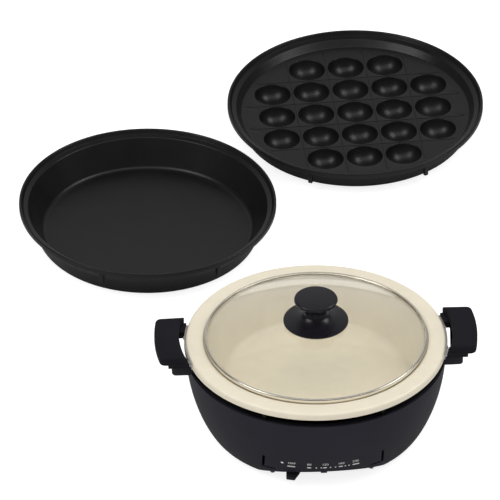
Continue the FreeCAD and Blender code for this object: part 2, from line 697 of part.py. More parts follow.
def sensor_cap():
    low = SENSOR_TOP - SENSOR_HEIGHT
    under = SENSOR_TOP - SENSOR_SKIN
    inside = SENSOR_RADIUS - SENSOR_SKIRT_SKIN
    return revolved([(0, under, 0), (inside, under, 0.6), (inside, low, 0), (SENSOR_RADIUS, low, 0),
                     (SENSOR_RADIUS, SENSOR_TOP, 1.2), (0, SENSOR_TOP, 0)])


def sensor_spring():
    """Coil spring under the cap, made of quarter-turn arcs that climb steadily."""
    low = SHIELD_FLOOR - SHIELD_THICK + SPRING_WIRE_RADIUS
    high = SENSOR_TOP - SENSOR_SKIN - SPRING_WIRE_RADIUS
    quarters = int(SPRING_TURNS * 4)

    def at(share):
        angle = share * SPRING_TURNS * 2 * math.pi
        return V(SPRING_RADIUS * math.cos(angle), SPRING_RADIUS * math.sin(angle),
                 low + (high - low) * share)

    edges = []
    for i in range(quarters):
        a, m, b = i / quarters, (i + 0.5) / quarters, (i + 1) / quarters
        edges.append(Part.Arc(at(a), at(m), at(b)).toShape())
    start_direction = edges[0].tangentAt(edges[0].FirstParameter)
    section = Part.Wire(Part.makeCircle(SPRING_WIRE_RADIUS, at(0), start_direction))
    return Part.Wire(edges).makePipeShell([section], True, False)


def lever_spindle():
    head = rod(5.0, (0, 0, LEVER_BOTTOM), (0, 0, LEVER_ARM_Z))
    return head.fuse(rod(SPINDLE_RADIUS, (0, 0, LEVER_ARM_Z), (0, 0, SPINDLE_TOP)))


def lever_arm():
    top = LEVER_ARM_Z + LEVER_ARM_THICK
    hub = rod(9.0, (0, 0, LEVER_ARM_Z), (0, 0, top))
    strip = box(-LEVER_ARM_HALF_WIDTH, LEVER_ARM_HALF_WIDTH, -LEVER_ARM_REACH, 0, LEVER_ARM_Z, top)
    arm = hub.fuse(strip).cut(rod(SPINDLE_RADIUS, (0, 0, 10), (0, 0, 20)))
    return turned(arm, LEVER_REST_ANGLE)


def lever_finger():
    root, tip = LEVER_ROOT_WIDTH / 2, LEVER_TIP_WIDTH / 2
    top = LEVER_BOTTOM + LEVER_THICK
    rear, shoulder = -LEVER_BLADE_ROOT, -LEVER_BLADE_SHOULDER
    blade = prism([(-root, rear, 1), (-root, shoulder, 6), (-tip, -LEVER_REACH, 1.5),
                   (tip, -LEVER_REACH, 1.5), (root, shoulder, 6), (root, rear, 1)], LEVER_BOTTOM, top)
    blade = blade.makeFillet(0.7, [e for e in blade.Edges if abs(e.BoundBox.ZLength) < 1e-6])
    slot = box(-LEVER_ARM_HALF_WIDTH, LEVER_ARM_HALF_WIDTH, -LEVER_ARM_REACH, rear + 2,
               LEVER_ARM_Z, LEVER_ARM_Z + LEVER_ARM_THICK)
    return turned(blade.cut(slot), LEVER_REST_ANGLE)


def lamp_lens():
    edge = side_radius(LAMP_Z)
    rear = edge - LAMP_LENS_DEPTH
    return fused([lamp_rod(LAMP_RADIUS, rear, edge - 0.2), lamp_rod(LAMP_COLLAR_RADIUS, rear, rear + 1.4)])


def lamp_holder():
    edge = side_radius(LAMP_Z)
    return lamp_rod(LAMP_COLLAR_RADIUS, edge - LAMP_HOLDER_DEPTH, edge - LAMP_LENS_DEPTH)


def inlet_housing():
    low, high = INLET_Z - INLET_HALF_HEIGHT, INLET_Z + INLET_HALF_HEIGHT
    half = INLET_HALF_WIDTH

    def upright(inner_half, rounding, z0, z1, y0, y1):
        corners = [(-inner_half, z0, rounding), (inner_half, z0, rounding),
                   (inner_half, z1, rounding), (-inner_half, z1, rounding)]
        wire = rounded_wire(corners, lambda x, z: V(x, y0, z))
        return Part.Face(wire).extrude(V(0, y1 - y0, 0))

    case = upright(half, 3, low, high, INLET_REAR_Y, INLET_FACE_Y)
    stop = box(-half - 3, half + 3, INLET_REAR_Y + 3, INLET_REAR_Y + 9, low - 3, high)
    recess = upright(SOCKET_HALF_WIDTH, 2, INLET_Z - SOCKET_HALF_HEIGHT, INLET_Z + SOCKET_HALF_HEIGHT,
                     INLET_FACE_Y - SOCKET_DEPTH, INLET_FACE_Y + 1)
    holes = [rod(PIN_RADIUS, (s * PIN_HALF_SPACING, 100, INLET_Z), (s * PIN_HALF_SPACING, 150, INLET_Z))
             for s in (-1, 1)]
    return case.fuse(stop.common(bowl_volume(BODY_WALL + 0.4))).cut(recess.fuse(holes[0]).fuse(holes[1]))


def inlet_pins():
    pins = []
    for side in (-1, 1):
        x = side * PIN_HALF_SPACING
        end = INLET_FACE_Y - PIN_SHORT_OF_FACE
        pin = rod(PIN_RADIUS, (x, PIN_REAR_Y, INLET_Z), (x, end, INLET_Z))
        tip = Part.makeCone(PIN_RADIUS, 1.2, 1.2, V(x, end, INLET_Z), V(0, 1, 0))
        pins.append(pin.fuse(tip))
    return group(pins)


def inlet_magnet_plate():
    plate_y = INLET_FACE_Y - SOCKET_DEPTH
    return box(-5.5, 5.5, plate_y, plate_y + 1.5, INLET_Z - 6, INLET_Z + 6)


def tube_run(points, radius, bend):
    """A wire through the points, with a round bend of one size at each."""
    vectors = [V(*p) for p in points]
    edges = []
    at = vectors[0]
    for before, here, after in zip(vectors, vectors[1:], vectors[2:]):
        back = before - here
        on = after - here
        back.normalize()
        on.normalize()
        half = back.getAngle(on) / 2
        reach = bend / math.tan(half)
        middle = back + on
        middle.normalize()
        start, end = here + back * reach, here + on * reach
        edges.append(Part.LineSegment(at, start).toShape())
        edges.append(Part.Arc(start, here + middle * (bend / math.sin(half) - bend), end).toShape())
        at = end
    edges.append(Part.LineSegment(at, vectors[-1]).toShape())
    section = Part.Wire(Part.makeCircle(radius, vectors[0], vectors[1] - vectors[0]))
    return Part.Wire(edges).makePipeShell([section], True, False)


def fuse_lead_ends():
    """Where the two leads of the fuse meet their wires."""
    return (-26, 92, FUSE_Z), (-50, 74, FUSE_Z)


def inner_wires():
    """Leads from the inlet to the thermostat and the fuse, and on to the element's legs."""
    (left_x, left_y), (right_x, right_y) = element_leg_places()
    tab_z = CASE_TAB_Z + CASE_TAB_THICK + WIRE_RADIUS
    tab_x = CASE_HALF_LENGTH + 5
    fuse_in, fuse_out = fuse_lead_ends()
    pin_x, pin_y = PIN_HALF_SPACING, PIN_REAR_Y
    runs = [
        ([(pin_x, pin_y, INLET_Z), (pin_x, pin_y - 8, INLET_Z), (34, 78, 30), (34, 20, tab_z),
          (tab_x, 7, tab_z)], 6),
        ([(-tab_x, 7, tab_z), (-36, 16, tab_z), (-36, 52, 28), (-6, 66, 24), (right_x, right_y, 24),
          (right_x, right_y, TERMINAL_BOTTOM)], 1.6),
        ([(-pin_x, pin_y, INLET_Z), (-pin_x, pin_y - 7, INLET_Z), fuse_in], 4),
        ([fuse_out, (-54, 66, FUSE_Z), (-40, 60, 20), (left_x, left_y, 20),
          (left_x, left_y, TERMINAL_BOTTOM)], 3)]
    return group([tube_run(points, WIRE_RADIUS, bend) for points, bend in runs])


def thermal_fuse():
    fuse_in, fuse_out = [V(*p) for p in fuse_lead_ends()]
    along = fuse_out - fuse_in
    along.normalize()
    body_in, body_out = fuse_in + along * 5, fuse_out - along * 5
    return fused([rod(FUSE_RADIUS, body_in, body_out),
                  rod(FUSE_LEAD_RADIUS, fuse_in + along * 0.9, fuse_out - along * 0.9)])


def lugs(flange_top, underside):
    """Four pegs under a flange that stand on the guard ring."""
    foot_z = flange_top - LUG_DROP
    peg = box(-2.5, 2.5, -LUG_RADIUS - 2, -LUG_RADIUS + 2, foot_z, underside + 0.5)
    return around(peg, (LUG_ANGLE, -LUG_ANGLE, 180 + LUG_ANGLE, 180 - LUG_ANGLE))


def deep_pot():
    top = RIM_HEIGHT
    floor = top - POT_DEPTH
    under = floor - POT_BASE_THICK
    ledge = top - LEDGE_DROP
    pot = revolved([
        (0, floor, 0), (POT_FLOOR_RADIUS, floor, 10), (POT_MOUTH_RADIUS, ledge, 1.2),
        (LEDGE_RADIUS, ledge, 0.8), (LEDGE_RADIUS + 0.4, top, 1.0), (FLANGE_RADIUS, top, 3.2),
        (FLANGE_RADIUS, top - POT_LIP, 0.7), (FLANGE_RADIUS - LIP_THICK, top - POT_LIP, 0.7),
        (FLANGE_RADIUS - LIP_THICK, top - FLANGE_THICK, 1.0), (135.4, top - FLANGE_THICK, 1.0),
        (135.2, ledge - 2.7, 1.0),
        (129.6, ledge - 2.7, 1.5), (107.2, under, 9), (0, under, 0)])
    pot = fused([pot] + lugs(top, top - FLANGE_THICK))
    holes = around(rivet_holes(), (0, 180))
    return pot.cut(holes[0].fuse(holes[1]))


def rivet_holes():
    """The two rivet holes of one grip, through the pot's lip and the strap."""
    holes = [rod(RIVET_RADIUS, (148, y, RIVET_Z), (158, y, RIVET_Z)) for y in (-RIVET_Y, RIVET_Y)]
    return holes[0].fuse(holes[1])


def grip_bracket(side):
    """Steel strap along the pot's lip with two flat arms that carry the grip."""
    strap = flat_ring(FLANGE_RADIUS, FLANGE_RADIUS + STRAP_THICK, RIM_HEIGHT - POT_LIP + 1, RIM_HEIGHT - 1.5)
    strap = strap.common(box(100, 160, -BRACKET_ARM_OUTER, BRACKET_ARM_OUTER, 100, 125))
    arm_top = BRACKET_ARM_Z + BRACKET_ARM_THICK
    arms = []
    for end in (-1, 1):
        y0, y1 = sorted((end * BRACKET_ARM_INNER, end * BRACKET_ARM_OUTER))
        arm = box(140, BRACKET_ARM_REACH, y0, y1, BRACKET_ARM_Z, arm_top)
        arm = arm.cut(rod(FLANGE_RADIUS, (0, 0, 100), (0, 0, 130)))
        x, y = GRIP_SCREW_X, end * GRIP_SCREW_Y
        arms.append(arm.cut(rod(GRIP_SCREW_RADIUS, (x, y, 100), (x, y, 130))))
    bracket = fused([strap] + arms).cut(rivet_holes())
    return turned(bracket, 0 if side > 0 else 180)


def bracket_rivets():
    rivets = []
    for angle in (0, 180):
        for y in (-RIVET_Y, RIVET_Y):
            far_y = RIVET_Y + RIVET_HEAD_RADIUS
            near_y = RIVET_Y - RIVET_HEAD_RADIUS
            lip_in = math.sqrt((FLANGE_RADIUS - LIP_THICK) ** 2 - far_y ** 2)
            strap_out = math.sqrt((FLANGE_RADIUS + STRAP_THICK) ** 2 - near_y ** 2)
            shank = rod(RIVET_RADIUS, (lip_in, y, RIVET_Z), (strap_out, y, RIVET_Z))
            heads = [rod(RIVET_HEAD_RADIUS, (lip_in - 0.9, y, RIVET_Z), (lip_in, y, RIVET_Z)),
                     rod(RIVET_HEAD_RADIUS, (strap_out, y, RIVET_Z), (strap_out + 0.9, y, RIVET_Z))]
            rivets.append(turned(fused([shank] + heads), angle))
    return group(rivets)


def arc_band(inner, outer, y0, y1, z0, z1):
    """An upright piece between two circles about the axis, on the +X side, cut off at both ends."""
    def on_circle(radius, y):
        return V(math.sqrt(radius * radius - y * y), y, z0)

    middle = (y0 + y1) / 2
    corners = [on_circle(outer, y0), on_circle(outer, y1), on_circle(inner, y1), on_circle(inner, y0)]
    edges = [Part.Arc(corners[0], on_circle(outer, middle), corners[1]).toShape(),
             Part.LineSegment(corners[1], corners[2]).toShape(),
             Part.Arc(corners[2], on_circle(inner, middle), corners[3]).toShape(),
             Part.LineSegment(corners[3], corners[0]).toShape()]
    return Part.Face(Part.Wire(edges)).extrude(V(0, 0, z1 - z0))


def pot_grip(side):
    """Curved grip bar outside the rim, with a low pad under each end that takes the bracket's arm."""
    half, top = GRIP_HALF_LENGTH, GRIP_BOTTOM + GRIP_THICK
    bar = arc_band(GRIP_INNER_RADIUS, GRIP_OUTER_RADIUS, -half, half, GRIP_BOTTOM, top)
    outer_corners = [e for e in bar.Edges if e.BoundBox.ZLength > 1 and e.BoundBox.XMin > 170]
    bar = bar.makeFillet(GRIP_CORNER, outer_corners)
    outer_edges = [e for e in bar.Edges if e.BoundBox.ZLength < 1e-6 and e.BoundBox.XMax > 170]
    bar = bar.makeFillet(GRIP_SOFT_EDGE, outer_edges)
    pieces = [bar, arc_band(GRIP_HORN_RADIUS, GRIP_INNER_RADIUS + 3, GRIP_HORN_NEAR_Y, half - 0.4,
                            GRIP_BOTTOM, top - 0.4)]
    for y0, y1, inner in (GRIP_FRONT_PAD, GRIP_REAR_PAD):
        pad = box(GRIP_CUT_INNER_X, GRIP_PAD_OUTER_X, y0, y1, GRIP_PAD_BOTTOM, GRIP_PAD_TOP)
        pieces.append(pad.cut(rod(inner, (0, 0, GRIP_PAD_BOTTOM - 1), (0, 0, GRIP_PAD_TOP + 1))))
    cuts = []
    arm_top = BRACKET_ARM_Z + BRACKET_ARM_THICK
    for end in (-1, 1):
        y0, y1 = sorted((end * BRACKET_ARM_INNER, end * BRACKET_ARM_OUTER))
        x, y, low = GRIP_SCREW_X, end * GRIP_SCREW_Y, GRIP_PAD_BOTTOM - 1
        cuts.append(box(GRIP_CUT_INNER_X, BRACKET_ARM_REACH, y0, y1, BRACKET_ARM_Z, arm_top))
        cuts.append(rod(GRIP_SCREW_RADIUS, (x, y, low), (x, y, GRIP_PAD_BOTTOM + GRIP_SCREW_HOLE)))
        cuts.append(rod(GRIP_SINK_RADIUS, (x, y, low), (x, y, GRIP_PAD_BOTTOM + GRIP_SINK_DEPTH)))
    grip = fused(pieces).cut(cuts[0].multiFuse(cuts[1:]))
    return grip if side > 0 else grip.mirror(ORIGIN, V(1, 0, 0))


def grip_screws():
    screws = []
    for side in (-1, 1):
        for end in (-1, 1):
            screws.append(screw(side * GRIP_SCREW_X, end * GRIP_SCREW_Y, GRIP_PAD_BOTTOM + GRIP_SINK_DEPTH,
                                GRIP_PAD_BOTTOM + 8.5, GRIP_SCREW_RADIUS, 3.2, 0.3))
    return group(screws)


def lid_glass():
    inner = LID_SPHERE - GLASS_THICK
    hole, edge = KNOB_BORE + 1.7, LID_RADIUS - 1.0

    def on_dome(sphere, radius):
        return V(radius, 0, LID_CENTRE_Z + math.sqrt(sphere * sphere - radius * radius))

    middle = (hole + edge) / 2
    corners = [on_dome(LID_SPHERE, hole), on_dome(LID_SPHERE, edge), on_dome(inner, edge),
               on_dome(inner, hole)]
    edges = [Part.Arc(corners[0], on_dome(LID_SPHERE, middle), corners[1]).toShape(),
             Part.LineSegment(corners[1], corners[2]).toShape(),
             Part.Arc(corners[2], on_dome(inner, middle), corners[3]).toShape(),
             Part.LineSegment(corners[3], corners[0]).toShape()]
    return Part.Face(Part.Wire(edges)).revolve(ORIGIN, UP, 360)


def lid_band():
    low = LID_BAND_BOTTOM
    high = low + LID_BAND_HEIGHT
    r, t, inner = LID_RADIUS, LID_BAND_SHEET, LID_BAND_INNER
    return revolved([(inner, low, 0), (r, low, 1.2), (r, high, 1.6), (inner, high, 0),
                     (inner, high - t, 0), (r - t, high - t, 0.8), (r - t, low + t, 0.5),
                     (inner, low + t, 0)])


def knob_skirt():
    base = LID_CENTRE_Z + math.sqrt(LID_SPHERE ** 2 - SKIRT_RADIUS ** 2)
    profile = [V(SKIRT_RADIUS - 2.0, 0, base + 0.2), V(SKIRT_RADIUS, 0, base + 0.4),
               V(SKIRT_RADIUS, 0, base + 2.6)]
    edges = [Part.LineSegment(a, b).toShape() for a, b in zip(profile, profile[1:])]
    waist = V(SKIRT_WAIST_RADIUS, 0, base + SKIRT_HEIGHT - 3.0)
    swoop = V(SKIRT_WAIST_RADIUS + 7.9, 0, base + 7.0)
    edges.append(Part.Arc(profile[-1], swoop, waist).toShape())
    top, crown = base + SKIRT_HEIGHT, LID_CROWN_Z + 0.1
    inside = [waist, V(SKIRT_WAIST_RADIUS, 0, top), V(KNOB_BORE, 0, top), V(KNOB_BORE, 0, crown),
              V(14.0, 0, crown), V(SKIRT_RADIUS - 2.0, 0, base + 0.2)]
    edges += [Part.LineSegment(a, b).toShape() for a, b in zip(inside, inside[1:])]
    return Part.Face(Part.Wire(edges)).revolve(ORIGIN, UP, 360)


def lid_knob():
    base = LID_CENTRE_Z + math.sqrt(LID_SPHERE ** 2 - SKIRT_RADIUS ** 2) + SKIRT_HEIGHT
    disc, bore_top = KNOB_DISC_RADIUS, KNOB_TOP - 6.0
    return revolved([(KNOB_BORE, base, 0), (11.4, base, 0.5), (14.0, KNOB_TOP - 9.0, 4.0),
                     (disc, KNOB_TOP - 5.5, 2.4), (disc - 1.2, KNOB_TOP - 1.2, 2.2),
                     (0, KNOB_TOP, 0), (0, bore_top, 0), (KNOB_BORE, bore_top, 0)])


def knob_screw():
    inner_apex = LID_CROWN_Z - GLASS_THICK
    return screw(0, 0, inner_apex - WASHER_THICK, KNOB_TOP - 6.4, KNOB_BORE, 6.0, 3.0)


def knob_washer():
    inner_apex = LID_CROWN_Z - GLASS_THICK
    disc = tube(WASHER_RADIUS, KNOB_BORE, (0, 0, inner_apex - WASHER_THICK), (0, 0, inner_apex - 0.13))
    collar = tube(4.2, KNOB_BORE, (0, 0, inner_apex - 0.5), (0, 0, LID_CROWN_Z))
    return disc.fuse(collar)


def placed_plate(shape, at):
    return moved(turned(shape, PLATE_TURN), at[0], at[1])


def plate_rim(top):
    """Profile corners of a spare plate's stepped rim, from the inner wall's head round to its underside.

    A narrow bead stands at the outside, and a sloping ledge lies lower between it and the wall."""
    inside = FLANGE_RADIUS - LIP_THICK
    return [(LEDGE_HEAD_RADIUS, top - LEDGE_HEAD_DROP, 1.2), (LEDGE_FOOT_RADIUS, top - LEDGE_FOOT_DROP, 0.8),
            (BEAD_INNER_RADIUS, top, 0.8), (FLANGE_RADIUS, top, 1.2),
            (FLANGE_RADIUS, top - PLATE_LIP, 0.7), (inside, top - PLATE_LIP, 0.7),
            (RIM_ROOT_RADIUS, top - RIM_ROOT_DROP, 0.8), (WALL_HEAD_RADIUS, top - WALL_HEAD_DROP, 1.0)]


def flat_plate():
    top = FLAT_PLATE_HEIGHT
    floor = FLAT_PLATE_FLOOR
    plate = revolved([(0, floor, 0), (FLAT_FLOOR_RADIUS, floor, 7)] + plate_rim(top)
                     + [(FLAT_WAIST_RADIUS, top - FLAT_WAIST_DROP, 20), (FLAT_BOTTOM_RADIUS, 0, 8),
                        (0, 0, 0)])
    return placed_plate(fused([plate] + lugs(top, top - PLATE_PEG_TOP)), FLAT_PLATE_AT)


def pocket_places():
    """Centres of the ball pockets on a square grid, short rows at front and back."""
    places = []
    for row, count in enumerate(BALL_ROWS):
        y = ((len(BALL_ROWS) - 1) / 2 - row) * BALL_PITCH
        for column in range(count):
            places.append(((column - (count - 1) / 2) * BALL_PITCH, y))
    return places


def ball_plate():
    top, deck = BALL_PLATE_HEIGHT, BALL_DECK
    sphere = (BALL_MOUTH_RADIUS ** 2 + BALL_DEPTH ** 2) / (2 * BALL_DEPTH)
    centre_z = deck - BALL_DEPTH + sphere
    under = deck - BALL_SHEET
    ring = BALL_RING_RADIUS
    plate = revolved([(0, deck, 0), (BALL_DECK_RADIUS, deck, 3)] + plate_rim(top)
                     + [(BALL_WAIST_RADIUS, deck - 1.5, 2.0), (ring, BALL_RING_BOTTOM, 1.0),
                        (ring - 3.2, BALL_RING_BOTTOM, 1.0), (ring - 2.6, under, 2.0), (0, under, 0)])
    below_deck = rod(FLANGE_RADIUS, (0, 0, -1), (0, 0, deck - 1.0))
    cups = []
    for x, y in pocket_places():
        cups.append(Part.makeSphere(sphere + BALL_SHELL, V(x, y, centre_z)).common(below_deck))
    plate = plate.multiFuse(cups + lugs(top, top - PLATE_PEG_TOP))
    hollows = [Part.makeSphere(sphere, V(x, y, centre_z)) for x, y in pocket_places()]
    half, low = GROOVE_HALF_WIDTH, deck - GROOVE_DEPTH
    for k in (-1.5, -0.5, 0.5, 1.5):
        line = k * BALL_PITCH
        run = math.sqrt(GROOVE_REACH ** 2 - line ** 2)
        hollows.append(box(line - half, line + half, -run, run, low, deck + 1))
        hollows.append(box(-run, run, line - half, line + half, low, deck + 1))
    plate = plate.cut(hollows[0].multiFuse(hollows[1:]))
    return placed_plate(plate, BALL_PLATE_AT)


def nodes():
    """Every piece by name, base first and then what lifts off it."""
    yield "body_shell", body_shell()
    yield "guard_ring", guard_ring()
    yield "left_ear", side_ear(-1)
    yield "right_ear", side_ear(1)
    yield "ear_screws", ear_screws()
    yield "control_panel", control_panel()
    yield "control_panel_screws", control_panel_screws()
    yield "bottom_cover", bottom_cover()
    yield "bottom_screws", bottom_screws()
    for index, name in enumerate(("back_right", "back_left", "front_left", "front_right")):
        yield "rubber_foot_" + name, rubber_foot(index)
    yield "heat_shield", heat_shield()
    yield "shield_screws", shield_screws()
    yield "heating_element", heating_element()
    yield "element_terminals", element_terminals()
    yield "element_clamps", element_clamps()
    yield "clamp_rivets", clamp_rivets()
    yield "thermostat_body", thermostat_body()
    yield "thermostat_bracket", thermostat_bracket()
    yield "sensor_spring", sensor_spring()
    yield "sensor_cap", sensor_cap()
    yield "thermal_fuse", thermal_fuse()
    yield "inner_wires", inner_wires()
    yield "lamp_lens", lamp_lens()
    yield "lamp_holder", lamp_holder()
    yield "inlet_housing", inlet_housing()
    yield "inlet_pins", inlet_pins()
    yield "inlet_magnet_plate", inlet_magnet_plate()
    yield "lever_spindle", lever_spindle()
    yield "lever_arm", lever_arm()
    yield "lever_finger", lever_finger()
    yield "deep_pot", deep_pot()
    yield "left_grip", pot_grip(-1)
    yield "right_grip", pot_grip(1)
    yield "left_grip_bracket", grip_bracket(-1)
    yield "right_grip_bracket", grip_bracket(1)
    yield "bracket_rivets", bracket_rivets()
    yield "grip_screws", grip_screws()
    yield "lid_glass", lid_glass()
    yield "lid_band", lid_band()
    yield "knob_skirt", knob_skirt()
    yield "lid_knob", lid_knob()
    yield "knob_screw", knob_screw()
    yield "knob_washer", knob_washer()
    yield "flat_plate", flat_plate()
    yield "ball_plate", ball_plate()


def main():
    os.makedirs("parts", exist_ok=True)
    for name, shape in nodes():
        shape.exportStep("parts/" + name + ".step")
        print(name, "valid" if shape.isValid() else "NOT VALID", len(shape.Solids),
              round(shape.Volume / 1000, 2))


main()
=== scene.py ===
import json
import math

import bmesh
import bpy
import numpy as np
from bpy.props import FloatProperty, FloatVectorProperty, IntProperty, PointerProperty
from mathutils import Matrix, Vector


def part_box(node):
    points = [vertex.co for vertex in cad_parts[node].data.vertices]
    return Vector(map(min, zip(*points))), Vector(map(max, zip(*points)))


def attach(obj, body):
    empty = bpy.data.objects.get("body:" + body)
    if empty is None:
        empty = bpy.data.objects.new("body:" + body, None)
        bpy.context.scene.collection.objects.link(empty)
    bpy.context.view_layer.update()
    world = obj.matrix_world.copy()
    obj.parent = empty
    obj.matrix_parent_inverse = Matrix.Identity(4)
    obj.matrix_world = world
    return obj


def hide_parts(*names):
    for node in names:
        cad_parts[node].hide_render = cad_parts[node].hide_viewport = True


bl_info = {
    "name": "Electric Grill Pan",
    "version": (1, 0, 0),
    "blender": (4, 5, 0),
    "location": "View3D > Sidebar > Grill Pan",
    "description": "Dresses a packed electric grill pan: heater base, pot, glass lid and two spare plates",
    "category": "Object",
}

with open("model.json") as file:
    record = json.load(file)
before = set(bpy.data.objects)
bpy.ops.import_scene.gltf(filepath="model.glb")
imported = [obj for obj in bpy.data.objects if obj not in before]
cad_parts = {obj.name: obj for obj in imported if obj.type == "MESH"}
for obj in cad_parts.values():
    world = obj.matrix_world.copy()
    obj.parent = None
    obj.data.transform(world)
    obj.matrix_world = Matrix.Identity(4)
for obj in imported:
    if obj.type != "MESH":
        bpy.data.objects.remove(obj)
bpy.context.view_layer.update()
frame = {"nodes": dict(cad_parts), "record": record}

MM = 0.001
WHITE = (1.0, 1.0, 1.0, 1.0)


def node_middle(node):
    """Middle of a packed node's box, in metres."""
    low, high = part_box(node)
    return (low + high) / 2


FLAT_MIDDLE = node_middle("flat_plate")
BALL_MIDDLE = node_middle("ball_plate")


def length(label, description, value):
    """A size that the sidebar shows as a length, in metres."""
    return FloatProperty(name=label, description=description, default=value, unit="LENGTH")


def tilt(label, description, degrees):
    """A size that the sidebar shows as an angle."""
    return FloatProperty(name=label, description=description, default=math.radians(degrees),
                         subtype="ANGLE")


def spot(label, description, middle):
    """A place on the table, in metres."""
    return FloatVectorProperty(name=label, description=description, default=middle[:2], size=2,
                               unit="LENGTH")


def tint(label, description, value):
    """A colour, as linear red, green and blue."""
    return FloatVectorProperty(name=label, description=description, default=value, size=3, subtype="COLOR")


class GrillPanSizes(bpy.types.PropertyGroup):
    rim_height: length("Rim height", "Height of the seated pot's flange over the table", 0.12)
    flange_radius: length("Flange radius", "Outside of the flange that the pot and the plates share", 0.153)
    bowl_top: length("Bowl height", "Height of the heater base's upper edge", 0.101)
    bowl_top_radius: length("Bowl top radius", "Outside of the heater base at its upper edge", 0.1523)
    bowl_bottom: length("Bowl bottom", "Height of the heater base's lower edge", 0.004)
    bowl_bottom_radius: length("Bowl bottom radius", "Outside of the heater base at its lower edge", 0.121)
    bowl_wall: length("Bowl wall", "Thickness of the heater base's wall", 0.003)
    pot_depth: length("Pot depth", "From the pot's flange down to its floor", 0.052)
    lid_radius: length("Lid radius", "Outside of the lid's steel band", 0.131)
    lid_sphere: length("Lid dome radius", "Radius of the sphere that the glass is cut from", 0.3533)
    lid_rise: length("Lid rise", "From the pot's flange up to the crown of the glass", 0.0278)
    knob_radius: length("Knob radius", "Radius of the knob's disc", 0.0262)
    knob_top: length("Knob height", "Height of the knob's top over the table", 0.18)
    skirt_radius: length("Skirt radius", "Radius of the knob's skirt where it meets the glass", 0.0382)
    lever_angle: tilt("Lever angle", "Where the lever stands at OFF, from straight ahead", -16.6)
    plate_turn: tilt("Plate turn", "How far the spare plates lie turned", 2.7)
    flat_plate_place: spot("Flat plate", "Middle of the flat plate on the table", FLAT_MIDDLE)
    flat_plate_height: length("Flat plate height", "Height of the flat plate's flange", 0.044)
    ball_plate_place: spot("Ball plate", "Middle of the ball plate on the table", BALL_MIDDLE)
    ball_plate_height: length("Ball plate height", "Height of the ball plate's flange", 0.035)
    ball_deck: length("Ball plate deck", "Height of the deck between the pockets", 0.021)
    ball_pitch: length("Pocket pitch", "Distance from pocket to pocket", 0.047)
    pocket_radius: length("Pocket radius", "Radius of a pocket's mouth", 0.0215)
    pocket_depth: length("Pocket depth", "Depth of a pocket under the deck", 0.018)
    segments: IntProperty(
        name="Segments", description="Steps round the turned pieces", default=240, min=48, max=512)


class GrillPanColours(bpy.types.PropertyGroup):
    bowl: tint("Bowl", "Charcoal plastic of the heater base", (0.0190, 0.0180, 0.0258))
    black_plastic: tint("Black plastic", "Ears, panel, guard ring and lever", (0.0195, 0.0185, 0.0225))
    grip: tint("Grips", "Heat-resistant plastic of the pot's grips", (0.0130, 0.0122, 0.0155))
    knob: tint("Knob", "Plastic of the lid's knob and skirt", (0.0078, 0.0068, 0.0098))
    cream: tint("Cream coating", "Ceramic coating inside the pot and on its flange", (0.790, 0.722, 0.573))
    coating: tint("Black coating",
                  "Non-stick coating of the plates and the pot's underside", (0.0052, 0.0052, 0.0055))
    steel: tint("Steel", "Stainless steel of the band, straps and screws", (0.62, 0.605, 0.58))
    # The warm tint of this colour is painted reflection: it stands in for the cream flange mirrored in the
    # band's steel.
    polished: tint("Polished steel", "Mirror-finished steel of the lid's band", (0.90, 0.86, 0.78))
    glass: tint("Glass", "Tempered glass of the lid", (1.0, 0.992, 0.962))
    print_ink: tint("Print", "White ink of the heat scale", (0.72, 0.72, 0.70))
    floor: tint("Floor", "Table top", (0.90, 0.90, 0.90))


def size(name):
    """One of the sizes, in millimetres."""
    value = getattr(bpy.context.scene.grill_pan_sizes, name)
    return np.array(value) / MM if hasattr(value, "__len__") else value / MM


def degrees_of(name):
    """One of the angles, in degrees."""
    return math.degrees(getattr(bpy.context.scene.grill_pan_sizes, name))


def colour(name):
    """One of the colours, opaque."""
    return (*getattr(bpy.context.scene.grill_pan_colours, name), 1.0)


# Surfaces. Lengths in these functions are millimetres.

def rounded_profile(corners, step=12.0):
    """Closed profile through corners (u, v, rounding), an (n, 2) array.

    At a corner with unit directions a and b to its neighbours and half their angle h, the arc of
    radius r starts r / tan h along a, its middle lies r / sin h along a + b, and it sweeps 180 - 2h."""
    points = []
    count = len(corners)
    for i, (u, v, rounding) in enumerate(corners):
        here = np.array([u, v], float)
        back = np.array(corners[i - 1][:2], float) - here
        on = np.array(corners[(i + 1) % count][:2], float) - here
        back /= np.linalg.norm(back)
        on /= np.linalg.norm(on)
        if rounding <= 0:
            points.append(here[None])
            continue
        half = math.acos(np.clip(back @ on, -1, 1)) / 2
        middle = (back + on) / np.linalg.norm(back + on)
        centre = here + middle * rounding / math.sin(half)
        start = here + back * rounding / math.tan(half) - centre
        sweep = math.pi - 2 * half
        side = math.copysign(1.0, back[0] * on[1] - back[1] * on[0])
        turns = np.linspace(0, -side * sweep, max(3, int(math.degrees(sweep) / step) + 2))
        cos, sin = np.cos(turns), np.sin(turns)
        arc = np.stack([start[0] * cos - start[1] * sin, start[0] * sin + start[1] * cos], 1)
        points.append(centre + arc)
    return np.concatenate(points)


def block_plan(left, right, front, rear, corner):
    """Plan of a rectangular block with round corners, anticlockwise."""
    return rounded_profile([(left, front, corner), (right, front, corner), (right, rear, corner),
                            (left, rear, corner)], 30)


def grid_quads(rows, columns, around=False, loop=False):
    """Four corners of every cell of a grid stored row by row; around joins the last column to the
    first, and loop the last row to the first."""
    wide = columns if around else columns - 1
    tall = rows if loop else rows - 1
    i, j = np.meshgrid(np.arange(tall), np.arange(wide), indexing="ij")
    up, right = (i + 1) % rows, (j + 1) % columns
    return np.stack([i * columns + j, i * columns + right, up * columns + right, up * columns + j],
                    -1).reshape(-1, 4)


